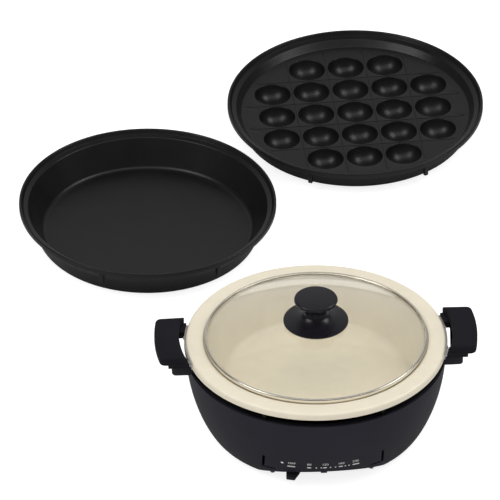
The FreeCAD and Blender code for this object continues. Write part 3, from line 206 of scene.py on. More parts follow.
def turned_surface(profile, angles=None):
    """Points (rows, columns, 3) with x = r cos a, y = r sin a and z from a profile of (r, z)."""
    if angles is None:
        count = bpy.context.scene.grill_pan_sizes.segments
        angles = np.arange(count) * 2 * math.pi / count
    r, z = profile[:, :1], profile[:, 1:]
    return np.stack([r * np.cos(angles), r * np.sin(angles), z + 0 * angles], -1)


def swept_tube(path, radius, sides):
    """Tube round a path of points: at each, a ring of that radius lies across the path's direction,
    in the two directions carried along the path with the least twist."""
    along = np.gradient(path, axis=0)
    along /= np.linalg.norm(along, axis=1, keepdims=True)
    first = np.cross(along[0], [0.0, 0.0, 1.0])
    if np.linalg.norm(first) < 1e-6:
        first = np.cross(along[0], [1.0, 0.0, 0.0])
    sides_at = [first / np.linalg.norm(first)]
    for direction in along[1:]:
        carried = sides_at[-1] - direction * (sides_at[-1] @ direction)
        sides_at.append(carried / np.linalg.norm(carried))
    across = np.array(sides_at)
    over = np.cross(along, across)
    turn = np.arange(sides) * 2 * math.pi / sides
    return (path[:, None] + radius * (across[:, None] * np.cos(turn)[:, None]
                                      + over[:, None] * np.sin(turn)[:, None]))


def spin(points, degrees, at=(0.0, 0.0)):
    """Points turned about the upright axis and then moved in plan."""
    turn = math.radians(degrees)
    x = points[..., 0] * math.cos(turn) - points[..., 1] * math.sin(turn) + at[0]
    y = points[..., 0] * math.sin(turn) + points[..., 1] * math.cos(turn) + at[1]
    return np.stack([x, y, points[..., 2]], -1)


class Form:
    """Points and faces of one piece, gathered from several surfaces."""

    def __init__(self):
        self.points, self.faces, self.finishes, self.count = [], [], [], 0

    def add(self, points, faces, finish=0):
        """Adds a surface; finish is one material index, or one for each face."""
        points = np.asarray(points, float).reshape(-1, 3)
        self.points.append(points)
        self.faces += [[int(k) + self.count for k in face] for face in faces]
        self.finishes.append(np.broadcast_to(finish, len(faces)))
        self.count += len(points)

    def turned(self, profile, finish=0, at=None):
        """A closed profile spun into a solid; finish may be one index for each profile run."""
        surface = turned_surface(profile)
        rows, columns = surface.shape[:2]
        runs = np.repeat(np.broadcast_to(finish, rows), columns)
        self.add(surface if at is None else spin(surface, 0, at),
                 grid_quads(rows, columns, around=True, loop=True), runs)

    def capped(self, rings, finish=0):
        """Rings joined into a skin that is closed by a flat cap at either end."""
        rows, columns = rings.shape[:2]
        faces = grid_quads(rows, columns, around=True).tolist()
        faces.append(list(range(columns))[::-1])
        faces.append([(rows - 1) * columns + k for k in range(columns)])
        self.add(rings, faces, finish)

    def prism(self, outline, low, high, soften=0.6, steps=4, finish=0, place=None, share=1.0):
        """Upright prism with rolled ends over a plan outline that runs anticlockwise.

        At angle a of the roll the outline moves inwards by s (1 - sin a) along the mitre of its two
        neighbouring sides, and stands s (1 - cos a) from the end. Share scales s point by point."""
        outline = np.asarray(outline, float)
        after = np.roll(outline, -1, 0) - outline
        after /= np.linalg.norm(after, axis=1, keepdims=True)
        out_after = np.stack([after[:, 1], -after[:, 0]], 1)
        out_before = np.roll(out_after, 1, 0)
        mitre = (out_after + out_before) / (1 + (out_after * out_before).sum(1))[:, None]
        roll = np.linspace(0, math.pi / 2, steps + 1)
        inset = np.concatenate([soften * (1 - np.sin(roll)), soften * (1 - np.sin(roll[::-1]))])
        height = np.concatenate([low + soften * (1 - np.cos(roll)),
                                 high - soften * (1 - np.cos(roll[::-1]))])
        share = np.broadcast_to(share, len(outline))[:, None]
        plan = outline[None] - inset[:, None, None] * (share * mitre)[None]
        rings = np.concatenate([plan, np.broadcast_to(height[:, None, None], plan.shape[:2] + (1,))], -1)
        if place is not None:
            rings = place(rings)
        self.capped(rings, finish)


MERGE_METRES = 2e-6
DEGENERATE_METRES = 1e-7


def make_piece(name, form, body, slot, replaced=(), finishes=None, sharp=32.0, outward=True, close=True):
    """Mesh object from a form, merged where poles and seams meet, riding on a body. It has the
    finish of its slot unless finishes are given."""
    mesh = bpy.data.meshes.new(name)
    mesh.from_pydata((np.concatenate(form.points) * MM).tolist(), [], form.faces)
    for material in finishes or [finish(slot)]:
        mesh.materials.append(material)
    mesh.polygons.foreach_set("material_index", np.concatenate(form.finishes).astype(np.int32))
    work = bmesh.new()
    work.from_mesh(mesh)
    if close:
        bmesh.ops.remove_doubles(work, verts=work.verts, dist=MERGE_METRES)
        bmesh.ops.dissolve_degenerate(work, dist=DEGENERATE_METRES, edges=work.edges)
    if outward:
        bmesh.ops.recalc_face_normals(work, faces=work.faces)
    work.to_mesh(mesh)
    work.free()
    mesh.polygons.foreach_set("use_smooth", np.ones(len(mesh.polygons), bool))
    mesh.set_sharp_from_angle(angle=math.radians(sharp))
    mesh.update()
    piece = bpy.data.objects.new(name, mesh)
    bpy.context.scene.collection.objects.link(piece)
    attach(piece, body)
    if replaced:
        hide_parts(*replaced)
    return piece


def make_turned(name, profile, *settings, **more):
    """Piece that is one profile spun about the upright axis."""
    form = Form()
    form.turned(profile)
    return make_piece(name, form, *settings, **more)


# Finishes. Noise scales are in waves per metre and bump depths in metres.

def shader_node(tree, kind, settings=None, **inputs):
    """Adds a node; inputs are numbers, colours or sockets, named by the socket with _ for a space, or
    i and its place in the list."""
    node = tree.nodes.new(kind)
    for key, value in (settings or {}).items():
        setattr(node, key, value)
    for key, value in inputs.items():
        numbered = key[0] == "i" and key[1:].isdigit()
        socket = node.inputs[int(key[1:]) if numbered else key.replace("_", " ")]
        if isinstance(value, bpy.types.NodeSocket):
            tree.links.new(value, socket)
        else:
            socket.default_value = value
    return node


def plain_finish(name):
    """An empty Principled material: the material, its tree, its shader and Object coordinates."""
    material = bpy.data.materials.new(name)
    material.use_nodes = True
    tree = material.node_tree
    shader = tree.nodes["Principled BSDF"]
    place = tree.nodes.new("ShaderNodeTexCoord").outputs["Object"]
    return material, tree, shader, place


def join(tree, shader, base, roughness, normal):
    """Joins colour, roughness and normal to a finish's shader."""
    for socket, value in (("Base Color", base), ("Roughness", roughness), ("Normal", normal)):
        tree.links.new(value, shader.inputs[socket])


def calculated(tree, operation, first, second):
    """Result of a sum with two numbers."""
    return shader_node(tree, "ShaderNodeMath", {"operation": operation}, i0=first, i1=second).outputs[0]


def mixed(tree, share, first, second):
    """One colour going over into another as the share goes from 0 to 1."""
    return shader_node(tree, "ShaderNodeMix", {"data_type": "RGBA"}, Factor=share, i6=first,
                       i7=second).outputs[2]


def faded(base, share):
    """A colour times a share, opaque and at most white."""
    return (*[min(c * share, 1.0) for c in base[:3]], 1.0)


def noise(tree, place, scale, detail=2.0, roughness=0.5):
    """Noise from 0 to 1 over a place, with that many cells to the metre."""
    return shader_node(tree, "ShaderNodeTexNoise", Vector=place, Scale=scale, Detail=detail,
                       Roughness=roughness).outputs["Fac"]


def spread(tree, value, low, high, from_low=0.3, from_high=0.7):
    """Maps a noise value from its usual span to a span of another quantity."""
    return shader_node(tree, "ShaderNodeMapRange", Value=value, From_Min=from_low, From_Max=from_high,
                       To_Min=low, To_Max=high).outputs["Result"]


def tinted(tree, base, share, value):
    """The base colour, darkened and lightened by a share as the value goes from 0 to 1."""
    return mixed(tree, value, faded(base, 1 - share), faded(base, 1 + share))


def bumped(tree, height, distance, **under):
    """The normal over a height in steps of a distance, on top of another normal if one is given."""
    return shader_node(tree, "ShaderNodeBump", Height=height, Distance=distance, Strength=1.0,
                       **under).outputs["Normal"]


def moulded_plastic(name, base, roughness, grain=1500.0, shine=0.5):
    """Moulded plastic: fine spark-eroded grain, slow drift of gloss, faint cloudiness of colour."""
    material, tree, shader, place = plain_finish(name)
    slow = noise(tree, place, 22.0, 3.0)
    grains = noise(tree, place, grain, 2.0, 0.6)
    join(tree, shader, tinted(tree, base, 0.10, spread(tree, slow, 0.0, 1.0)),
         spread(tree, slow, roughness - 0.035, roughness + 0.035), bumped(tree, grains, 0.00003))
    shader.inputs["Specular IOR Level"].default_value = shine
    return material


def ceramic_coating(name, base):
    """Sprayed ceramic: slight orange peel, faint mottling and fine darker specks under a gloss."""
    material, tree, shader, place = plain_finish(name)
    mottle = noise(tree, place, 55.0, 4.0)
    speck = shader_node(tree, "ShaderNodeTexVoronoi", Vector=place, Scale=520.0).outputs["Distance"]
    dots = spread(tree, speck, 1.0, 0.0, 0.05, 0.12)
    tone = tinted(tree, base, 0.025, spread(tree, mottle, 0.0, 1.0))
    specked = mixed(tree, calculated(tree, "MULTIPLY", dots, 0.18), tone, faded(base, 0.55))
    join(tree, shader, specked, spread(tree, mottle, 0.36, 0.46),
         bumped(tree, noise(tree, place, 260.0), 0.00006))
    shader.inputs["Coat Weight"].default_value = 0.30
    shader.inputs["Coat Roughness"].default_value = 0.22
    return material


def nonstick_coating(name, base, roughness):
    """Non-stick coating: fine pebbled surface, thin grey flecks and slow drift of gloss."""
    material, tree, shader, place = plain_finish(name)
    slow = noise(tree, place, 30.0, 3.0)
    fleck = shader_node(tree, "ShaderNodeTexVoronoi", Vector=place, Scale=900.0).outputs["Distance"]
    flecks = spread(tree, fleck, 0.35, 0.0, 0.06, 0.14)
    tone = tinted(tree, base, 0.10, spread(tree, slow, 0.0, 1.0))
    peel = bumped(tree, noise(tree, place, 420.0), 0.00009)
    join(tree, shader, mixed(tree, flecks, tone, (0.040, 0.040, 0.042, 1.0)),
         spread(tree, slow, roughness - 0.03, roughness + 0.04),
         bumped(tree, noise(tree, place, 1900.0), 0.00003, Normal=peel))
    shader.inputs["Specular IOR Level"].default_value = 0.38
    return material


def turned_metal(name, base, roughness, rings=2600.0, depth=0.000012):
    """Metal polished on a turntable: fine rings that follow the distance from the axis,
    sqrt(x^2 + y^2), and the height."""
    material, tree, shader, place = plain_finish(name)
    split = shader_node(tree, "ShaderNodeSeparateXYZ", Vector=place)
    flat = shader_node(tree, "ShaderNodeCombineXYZ", X=split.outputs["X"], Y=split.outputs["Y"], Z=0.0)
    radius = shader_node(tree, "ShaderNodeVectorMath", {"operation": "LENGTH"}, i0=flat.outputs[0])
    along = shader_node(tree, "ShaderNodeCombineXYZ", X=radius.outputs["Value"], Y=split.outputs["Z"],
                        Z=0.0).outputs[0]
    lines = noise(tree, along, rings, 3.0, 0.6)
    slow = noise(tree, place, 40.0, 3.0)
    join(tree, shader, tinted(tree, base, 0.06, spread(tree, slow, 0.0, 1.0)),
         spread(tree, lines, roughness - 0.05, roughness + 0.07), bumped(tree, lines, depth))
    shader.inputs["Metallic"].default_value = 1.0
    return material


def clear_glass(name, base):
    """Tempered glass: clear, with the faint waviness of its bending."""
    material, tree, shader, place = plain_finish(name)
    shader.inputs["Base Color"].default_value = base
    shader.inputs["Roughness"].default_value = 0.0
    shader.inputs["Transmission Weight"].default_value = 1.0
    shader.inputs["IOR"].default_value = 1.40
    tree.links.new(bumped(tree, noise(tree, place, 18.0, 1.0), 0.00002), shader.inputs["Normal"])
    return material


def matt_stuff(name, base, roughness, grain=700.0, share=0.12):
    """Rubber, fired clay or woven sleeve: a matt surface with a coarser grain."""
    material, tree, shader, place = plain_finish(name)
    grains = noise(tree, place, grain, 4.0, 0.65)
    join(tree, shader, tinted(tree, base, share, spread(tree, grains, 0.0, 1.0)),
         spread(tree, grains, roughness - 0.05, roughness + 0.05), bumped(tree, grains, 0.00008))
    return material


def printed_ink(name, base):
    """Screen-printed ink: dense, slightly uneven and matt."""
    material, tree, shader, place = plain_finish(name)
    grains = noise(tree, place, 3000.0, 3.0)
    tree.links.new(tinted(tree, base, 0.06, spread(tree, grains, 0.0, 1.0)), shader.inputs["Base Color"])
    shader.inputs["Roughness"].default_value = 0.55
    return material


FINISH_MAKERS = {
    "body_plastic": lambda: moulded_plastic("charcoal_plastic", colour("bowl"), 0.46, shine=0.15),
    "black_plastic": lambda: moulded_plastic("black_plastic", colour("black_plastic"), 0.46,
                                             shine=0.12),
    "grip_plastic": lambda: moulded_plastic("grip_plastic", colour("grip"), 0.50, shine=0.03),
    "knob_plastic": lambda: moulded_plastic("knob_plastic", colour("knob"), 0.26, shine=0.42),
    "cream_coating": lambda: ceramic_coating("cream_coating", colour("cream")),
    "black_coating": lambda: nonstick_coating("black_coating", colour("coating"), 0.33),
    "lid_glass": lambda: clear_glass("lid_glass", colour("glass")),
    "steel": lambda: turned_metal("stainless_steel", colour("steel"), 0.26),
    # This polished steel takes the warm colour above, a painted reflection of the cream flange.
    "polished_steel": lambda: turned_metal("polished_steel", colour("polished"), 0.19, depth=0.000003),
    "coated_steel": lambda: moulded_plastic("coated_steel", (0.045, 0.045, 0.048, 1.0), 0.42, grain=600.0),
    "element_sheath": lambda: turned_metal("element_sheath", (0.115, 0.105, 0.095, 1.0), 0.48, rings=900.0),
    "sensor_aluminium": lambda: turned_metal("sensor_aluminium", (0.70, 0.70, 0.70, 1.0), 0.34),
    "brass": lambda: turned_metal("brass", (0.76, 0.56, 0.27, 1.0), 0.30),
    "rubber": lambda: matt_stuff("rubber", (0.022, 0.022, 0.022, 1.0), 0.72),
    "ceramic": lambda: matt_stuff("fired_ceramic", (0.70, 0.68, 0.61, 1.0), 0.58),
    "wire_sleeve": lambda: matt_stuff("woven_sleeve", (0.52, 0.47, 0.38, 1.0), 0.80, grain=1600.0,
                                      share=0.25),
    "lamp_lens": lambda: moulded_plastic("lamp_lens", (0.82, 0.80, 0.77, 1.0), 0.28),
    "print": lambda: printed_ink("white_print", colour("print_ink")),
}
finishes_made = {}


def finish(name):
    """The material of a finish, made when it is first asked for."""
    if name not in finishes_made:
        finishes_made[name] = FINISH_MAKERS[name]()
    return finishes_made[name]


# The heater base's bowl

SIDE_POWER = 1.71
SIDE_ROOT = 1.31
FRONT_CUT_DEPTH = 135.0
FRONT_CUT_HEIGHT = 25.0
FRONT_CUT_SLOPE = 0.53
SLIT_X, SLIT_HALF, SLIT_LOW, SLIT_HIGH, SLIT_RUN = 70.0, 1.5, 21.0, 44.0, 14.0
SLIT_RUN_TOP = SLIT_LOW + 2 * SLIT_HALF
SOCKET_HALF, SOCKET_LOW, SOCKET_HIGH = 25.0, 25.0, 51.0
BOWL_SIDE_COLUMNS = 90
BOWL_LEVELS = 44
LOW_LEVELS_POWER = 1.35      # above 1, so that the rows lie closer together near the table
FEWEST_BETWEEN_ROWS = 0.25
ARCH_REACH, ARCH_FADE, ARCH_RISE = 54.0, 25.0, 39.0


def side_radius(z):
    """Radius of the bowl's outside at a share t of its height:
    R = Rb + (Rt - Rb) (1 - (1 - t)^p)^(1/q)."""
    bottom, top = size("bowl_bottom"), size("bowl_top")
    share = np.clip((z - bottom) / (top - bottom), 0.0, 1.0)
    low, high = size("bowl_bottom_radius"), size("bowl_top_radius")
    return low + (high - low) * (1 - (1 - share) ** SIDE_POWER) ** (1 / SIDE_ROOT)


def cut_height_at(x):
    """Where the side meets the sloping cut in front, found by repeating z = plane(sqrt(R(z)^2 - x^2))."""
    z = np.full(x.shape, 18.0)
    for _ in range(30):
        forward = np.sqrt(np.maximum(side_radius(z) ** 2 - x ** 2, 0.0))
        plane = FRONT_CUT_HEIGHT - FRONT_CUT_SLOPE * (FRONT_CUT_DEPTH - forward)
        z = np.maximum(plane, size("bowl_bottom"))
    return z


def places_across(reach, count, marks):
    """Places from one side to the other, evenly spaced but for marks that are added on both sides."""
    marks = np.array(marks)
    return np.unique(np.round(np.concatenate([np.linspace(-reach, reach, count), marks, -marks]), 3))


def bowl_grid():
    """Columns of the bowl keep a fixed x in front and at the back and share the rest of the turn.

    Each column's rows start at the cut's height. Rows below a changeover height are squeezed
    evenly between the cut and that height, so that the slits' edges stay on rows of their own."""
    bottom, top = size("bowl_bottom"), size("bowl_top")
    front = places_across(100, 161, [SLIT_X - SLIT_RUN, SLIT_X - SLIT_HALF, SLIT_X + SLIT_HALF])
    back = places_across(40, 41, [SOCKET_HALF])[::-1]
    marks = [SLIT_LOW, SLIT_RUN_TOP, SLIT_HIGH, SOCKET_LOW, SOCKET_HIGH]
    levels = bottom + (top - bottom) * np.linspace(0, 1, BOWL_LEVELS) ** LOW_LEVELS_POWER
    rows = np.unique(np.concatenate([levels, marks]))
    rows = rows[np.concatenate([[True], np.diff(rows) > FEWEST_BETWEEN_ROWS])]
    for mark in marks:
        rows[np.argmin(abs(rows - mark))] = mark
    n = len(front)
    m = n + BOWL_SIDE_COLUMNS
    p = m + len(back)
    total = p + BOWL_SIDE_COLUMNS
    changeover = np.full(total, SLIT_LOW)
    low = np.full(total, bottom)
    near_middle = np.clip((ARCH_REACH - abs(front)) / ARCH_FADE, 0, 1)
    changeover[:n] += ARCH_RISE * near_middle ** 2 * (3 - 2 * near_middle)
    low[:n] = cut_height_at(front)
    z = np.tile(rows[:, None], (1, total))
    squeezed = low + (z - bottom) * (changeover - low) / (changeover - bottom)
    z = np.where(z < changeover, squeezed, z)
    radius = side_radius(z)
    turn = np.empty_like(z)
    turn[:, :n] = np.arcsin(front / radius[:, :n])
    turn[:, m:p] = math.pi - np.arcsin(back / radius[:, m:p])
    share = np.arange(1, BOWL_SIDE_COLUMNS + 1) / (BOWL_SIDE_COLUMNS + 1)
    from_front = np.arcsin(front[-1] / radius[:, n:m])
    to_back = math.pi - np.arcsin(back[0] / radius[:, n:m])
    turn[:, n:m] = from_front + (to_back - from_front) * share
    from_back = math.pi - np.arcsin(back[-1] / radius[:, p:])
    to_front = 2 * math.pi + np.arcsin(front[0] / radius[:, p:])
    turn[:, p:] = from_back + (to_front - from_back) * share
    return np.stack([radius * np.sin(turn), -radius * np.cos(turn), z], -1)


def bowl_form():
    """The bowl's outside without its slits and without the opening for the power socket."""
    grid = bowl_grid()
    rows, columns = grid.shape[:2]
    faces = grid_quads(rows, columns, around=True)
    middles = grid.reshape(-1, 3)[faces].mean(1)
    x, y, z = abs(middles[:, 0]), middles[:, 1], middles[:, 2]
    upright = (abs(x - SLIT_X) < SLIT_HALF) & (z > SLIT_LOW) & (z < SLIT_HIGH)
    run = (x > SLIT_X - SLIT_RUN) & (x < SLIT_X) & (z > SLIT_LOW) & (z < SLIT_RUN_TOP)
    socket = (x < SOCKET_HALF) & (z > SOCKET_LOW) & (z < SOCKET_HIGH) & (y > 0)
    keep = ~(((upright | run) & (y < 0)) | socket)
    form = Form()
    form.add(grid, faces[keep])
    return form


INDEX_TAB = np.array([(-3.7, -134.6), (3.7, -134.6), (3.7, -131.9), (-3.7, -131.9)])
BOWL_SHARP = 50.0


def build_bowl():
    """Bowl with a wall and soft edges, and the small pointer tab in the middle of its front cut."""
    bowl = make_piece("bowl", bowl_form(), "base", "body_plastic", ["body_shell"],
                      sharp=BOWL_SHARP, outward=False)
    wall = bowl.modifiers.new("wall", "SOLIDIFY")
    wall.thickness = size("bowl_wall") * MM
    wall.offset = -1.0
    wall.use_even_offset = True
    edge = bowl.modifiers.new("soft_edges", "BEVEL")
    edge.width = 0.6 * MM
    edge.segments = 2
    edge.limit_method = "ANGLE"
    edge.angle_limit = math.radians(BOWL_SHARP)
    edge.harden_normals = True
    tab = Form()
    tab.prism(INDEX_TAB, FRONT_CUT_HEIGHT - 2.2, FRONT_CUT_HEIGHT + 1.5, 0.4)
    make_piece("index_tab", tab, "base", "body_plastic")


def build_guard_ring():
    """Black ring in the bowl's mouth: a flat shelf with a short skirt at its inner edge."""
    inner, skirt, low, shelf, top, gap = 137.5, 139.2, 88, 94.5, 97.0, 0.1
    outer = side_radius(shelf) - size("bowl_wall") - gap
    profile = rounded_profile([(inner, low, 0.4), (skirt, low, 0.4), (skirt, shelf, 0), (outer, shelf, 0),
                               (outer, top, 0.8), (inner, top, 1.2)])
    make_turned("mouth_ring", profile, "base", "black_plastic", ["guard_ring"])


# The pot

LUG_TURNS = (28.3, -28.3, 151.7, 208.3)
LUG_LENGTH = 22.7
LUG_PLAN = block_plan(-2.5, 2.5, -148, -144, 0.6)
WING_PLAN = block_plan(-4.6, 4.6, -147.4, -144.6, 0.5)
WING_LENGTH = 12.0
LIP_DEPTH = 9.0
LIP_WALL = 2.2


def add_lugs(form, flange_top, sunk, finish_index, at=(0.0, 0.0), turn=0.0):
    """Four pegs under a flange, each with a small cross wing; sunk is how far under the flange's top
    they end, and turn how far the whole piece is turned, in degrees."""
    for degrees in LUG_TURNS:
        def place(rings, degrees=degrees):
            """Turns a peg about the form's axis, then with the whole piece, and moves it there."""
            return spin(spin(rings, degrees), turn, at)
        for plan, reach in ((LUG_PLAN, LUG_LENGTH), (WING_PLAN, WING_LENGTH)):
            form.prism(plan, flange_top - reach, flange_top - sunk, 0.5, 2, finish=finish_index,
                       place=place)


def build_pot():
    """Turned pot: cream inside, over its flange and down its lip, black underneath."""
    base_thick, lid_sink = 4.0, 2.4
    top, flange = size("rim_height"), size("flange_radius")
    floor, ledge = top - size("pot_depth"), top - lid_sink
    under, low, inner = floor - base_thick, top - LIP_DEPTH, flange - LIP_WALL
    profile = rounded_profile([
        (0, floor, 0), (105.5, floor, 10), (127.3, ledge, 1.2), (131.9, ledge, 0.5), (132.2, top, 0.7),
        (flange, top, 3.2), (flange, low, 0.7), (inner, low, 0.7),
        (inner, top - 2.6, 1.0), (135.4, top - 2.6, 1.0), (135.2, ledge - 2.7, 1.0),
        (129.6, ledge - 2.7, 1.5), (107.2, under, 9), (0, under, 0)], 9)
    lip_end = int(np.argmin(abs(profile[:, 0] - inner) + abs(profile[:, 1] - (low + 0.7))))
    form = Form()
    form.turned(profile, (np.arange(len(profile)) >= lip_end).astype(int))
    add_lugs(form, top, lid_sink, 1)
    make_piece("pot", form, "pot", "cream_coating", ["deep_pot"],
               [finish("cream_coating"), finish("black_coating")])


# Grips, ears and lever

def circle_run(radius, y_from, y_to, count):
    """Points of a circle about the axis, on its +X side, between two y."""
    turns = np.linspace(math.asin(y_from / radius), math.asin(y_to / radius), count)
    return np.stack([radius * np.cos(turns), radius * np.sin(turns)], 1)


GRIP_OUTER, GRIP_INNER, GRIP_HALF, GRIP_CORNER = 189.5, 160.5, 42.5, 7.0
GRIP_HORN_RADIUS, GRIP_HORN_NEAR = 157.5, 37.0
GRIP_INNER_SHARE = 0.45      # how much of the outer edge's roll the inner edge has
GRIP_PADS = ((-42.0, -28.0, 157.0), (24.0, 42.0, 155.0))


def grip_outline():
    """Plan of a grip bar on the +X side, anticlockwise, and how much each point's edge is rolled.

    The outer arc ends in round corners; the inner arc steps inwards at the rear end."""
    outer, corner, half = GRIP_OUTER, GRIP_CORNER, GRIP_HALF
    outer_run = circle_run(outer, -(half - corner), half - corner, 40)
    turns = np.linspace(0, math.pi / 2, 9)[1:]
    lean = math.asin((half - corner) / outer)
    toward = turns + lean * (1 - turns / (math.pi / 2))
    round_top = np.stack([(outer - corner) * math.cos(lean) + corner * np.cos(toward),
                          (outer - corner) * math.sin(lean) + corner * np.sin(toward)], 1)
    rear = round_top[-1, 1]
    horn = circle_run(GRIP_HORN_RADIUS, rear, GRIP_HORN_NEAR, 4)
    inner_run = circle_run(GRIP_INNER, GRIP_HORN_NEAR - 2.0, -rear, 34)
    outline = np.concatenate([outer_run, round_top, horn, inner_run, round_top[::-1] * [1, -1]])
    rolled = np.ones(len(outline))
    first = len(outer_run) + len(round_top)
    rolled[first:first + len(horn) + len(inner_run)] = GRIP_INNER_SHARE
    return outline, rolled


def on_side(side):
    """Mirrors rings made on the +X side when they belong to the other one."""
    return lambda rings: rings if side > 0 else (rings * [-1, 1, 1])[:, ::-1]


def build_grips():
    """Grip bars with rolled edges, and a low pad under each end that takes the bracket's arm."""
    top = size("rim_height")
    outline, rolled = grip_outline()
    for side, name in ((-1, "left"), (1, "right")):
        form = Form()
        form.prism(outline, top - 2.0, top + 10.0, 2.6, 6, place=on_side(side), share=rolled)
        for low, high, inner in GRIP_PADS:
            pad = np.concatenate([[(176.0, low), (176.0, high)], circle_run(inner, high, low, 8)])
            form.prism(pad, top - 4.95, top + 1.0, 0.5, 3, place=on_side(side))
        make_piece(name + "_handle", form, "pot", "grip_plastic", [name + "_grip"])


EAR_SINK = 0.15


def build_ears():
    """C-shaped ears of the base: a frame outside the bowl, a deep web in front and an arch behind
    that cross the bowl's edge, and a tongue that is screwed down inside it. Where they run into each
    other, the faces of the inner ones lie one or two sinks deeper, so that no two faces coincide."""
    sink = EAR_SINK
    front, near, far, rear = -34.0, -25.0, 37.0, 44.0
    root, bridge, slot, outer = 155.5, 160.5, 162.5, 171.0
    frame_plan = rounded_profile([
        (root, front, 0.5), (outer, front, 5), (outer, rear, 5), (bridge, rear, 0.5), (bridge, far, 0.5),
        (slot, far, 1), (slot, near, 1.5), (root, near, 0.5)], 15)
    tongue = np.concatenate([[(140.0, rear), (140.0, front)], circle_run(148.8, front, rear, 16)])
    web = rounded_profile([(148.9, front + sink, 0.2), (bridge, front + sink, 0.2),
                           (bridge, near - sink, 0.2), (150.7, near - sink, 0.2)], 30)
    web_top = block_plan(143, 156, front + 2 * sink, near - 2 * sink, 0.4)
    arch = block_plan(143, bridge + 2, far + sink, rear - sink, 0.4)
    arch_end = block_plan(root, bridge + 2 + sink, far + 2 * sink, rear - 2 * sink, 0.4)
    low, high, top = 99.0, 110.2, 114.6
    blocks = ((frame_plan, low, top, 1.1), (tongue, 97.0, 102.5, 0.5), (web, low + sink, high, 0.5),
              (web_top, 101.05, high - sink, 0.5), (arch, 102.0, high, 0.6),
              (arch_end, 102.0 + sink, top - sink, 0.6))
    for side, name in ((-1, "left"), (1, "right")):
        form = Form()
        for block in blocks:
            form.prism(*block, place=on_side(side))
        make_piece(name + "_carrying_ear", form, "base", "black_plastic", [name + "_ear"])


def build_lever():
    """Lever finger: a tapered blade with rolled edges and three low ribs on top."""
    low, high, rib_sink, rib_rise = 12.0, 16.2, 0.4, 0.22
    blade = rounded_profile([(-8, -106, 1), (-8, -123, 6), (-5, -137, 1.5), (5, -137, 1.5), (8, -123, 6),
                             (8, -106, 1)][::-1], 15)[::-1]

    def lean(rings):
        """Turns the finger about the upright axis to where the lever rests."""
        return spin(rings, degrees_of("lever_angle"))

    form = Form()
    form.prism(blade, low, high, 0.9, place=lean)
    for reach in (-127.5, -130.3, -133.1):
        rib = block_plan(-4.0, 4.0, reach - 0.55, reach + 0.55, 0.4)
        form.prism(rib, high - rib_sink, high + rib_rise, 0.25, 2, place=lean)
    make_piece("lever_tip", form, "lever", "black_plastic", ["lever_finger"])


# The lid

def build_lid_glass():
    """Glass shell between two spheres about one centre, from the knob's hole to the band."""
    sphere, thick, hole, edge = size("lid_sphere"), 4.0, 4.3, size("lid_radius") - 1.0
    centre = size("rim_height") + size("lid_rise") - sphere
    outer_r = np.linspace(hole, edge, 40)
    inner_r = outer_r[::-1]
    profile = np.concatenate([
        np.stack([outer_r, centre + np.sqrt(sphere ** 2 - outer_r ** 2)], 1),
        np.stack([inner_r, centre + np.sqrt((sphere - thick) ** 2 - inner_r ** 2)], 1)])
    make_turned("glass_dome", profile, "lid", "lid_glass", ["lid_glass"])


def build_lid_band():
    """Steel sheet folded round the glass edge, with a lip above and one below."""
    sunk, tall, sheet, inner = 2.1, 7.2, 0.7, 128.3
    low, r = size("rim_height") - sunk, size("lid_radius")
    high = low + tall
    profile = rounded_profile([
        (inner, low, 0.25), (r, low, 1.2), (r, high, 1.6), (inner, high, 0.25), (inner, high - sheet, 0.2),
        (r - sheet, high - sheet, 0.8), (r - sheet, low + sheet, 0.5), (inner, low + sheet, 0.2)])
    # The band's polished steel carries a painted cream reflection in its colour.
    make_turned("steel_band", profile, "lid", "steel", ["lid_band"], [finish("polished_steel")])


def build_knob():
    """Skirt that sweeps up to a waist, and a disc on a short neck.

    At share s of the sweep the radius is waist + (skirt - waist) (1 - s)^2.75, and the height over
    the sweep's foot is its rise times s^1.15."""
    sphere, skirt, waist, rise, seat = size("lid_sphere"), size("skirt_radius"), 12.6, 13.4, 19.0
    crown = size("rim_height") + size("lid_rise")
    base = crown - sphere + math.sqrt(sphere ** 2 - skirt ** 2)
    neck = base + seat
    sweep = np.linspace(0, 1, 22)
    swoop = np.stack([waist + (skirt - waist) * (1 - sweep) ** 2.75, base + 2.6 + rise * sweep ** 1.15], 1)
    outer = np.concatenate([[(skirt - 1.6, base + 0.2), (skirt - 0.5, base + 0.35), (skirt, base + 0.9),
                             (skirt, base + 1.9), (skirt - 0.25, base + 2.35)], swoop[1:],
                            [(waist, neck), (2.6, neck), (2.6, crown + 0.1), (14.0, crown + 0.1)]])
    make_turned("skirt", outer, "lid", "knob_plastic", ["knob_skirt"])
    top, disc = size("knob_top"), size("knob_radius")
    profile = rounded_profile([(0, neck, 0), (11.4, neck, 0.5), (14.0, top - 9.0, 4.0),
                               (disc, top - 5.5, 2.4),
                               (disc - 1.2, top - 1.2, 2.2), (0, top, 0)], 9)
    make_turned("knob", profile, "lid", "knob_plastic", ["lid_knob"])


# The spare plates

PLATE_PEG_TOP = 7.0


def plate_rim(top):
    """Corners of a spare plate's rim, from the inner wall's head round to its underside: a sloping
    ledge, a narrow bead outside it, and the lip."""
    flange = size("flange_radius")
    low = top - 6.0
    return [(142.4, top - 6.5, 2.0), (147.8, top - 4.4, 0.6), (150.4, top, 1.3), (flange, top, 1.2),
            (flange, low, 0.7), (flange - LIP_WALL, low, 0.7), (149.4, top - 7.2, 0.8),
            (144.6, top - 9.3, 1.0)]


def build_flat_plate():
    """Turned plate with a plain floor inside a sloping wall, and its lugs."""
    top, floor, at = size("flat_plate_height"), 5.0, size("flat_plate_place")
    profile = rounded_profile([(0, floor, 0), (124.5, floor, 7)] + plate_rim(top)
                              + [(137.0, top - 22.0, 20), (130.6, 0, 8), (0, 0, 0)], 9)
    form = Form()
    form.turned(profile, at=at)
    add_lugs(form, top, PLATE_PEG_TOP, 0, at, degrees_of("plate_turn"))
    make_piece("grill_plate", form, "flat_plate", "black_coating", ["flat_plate"])


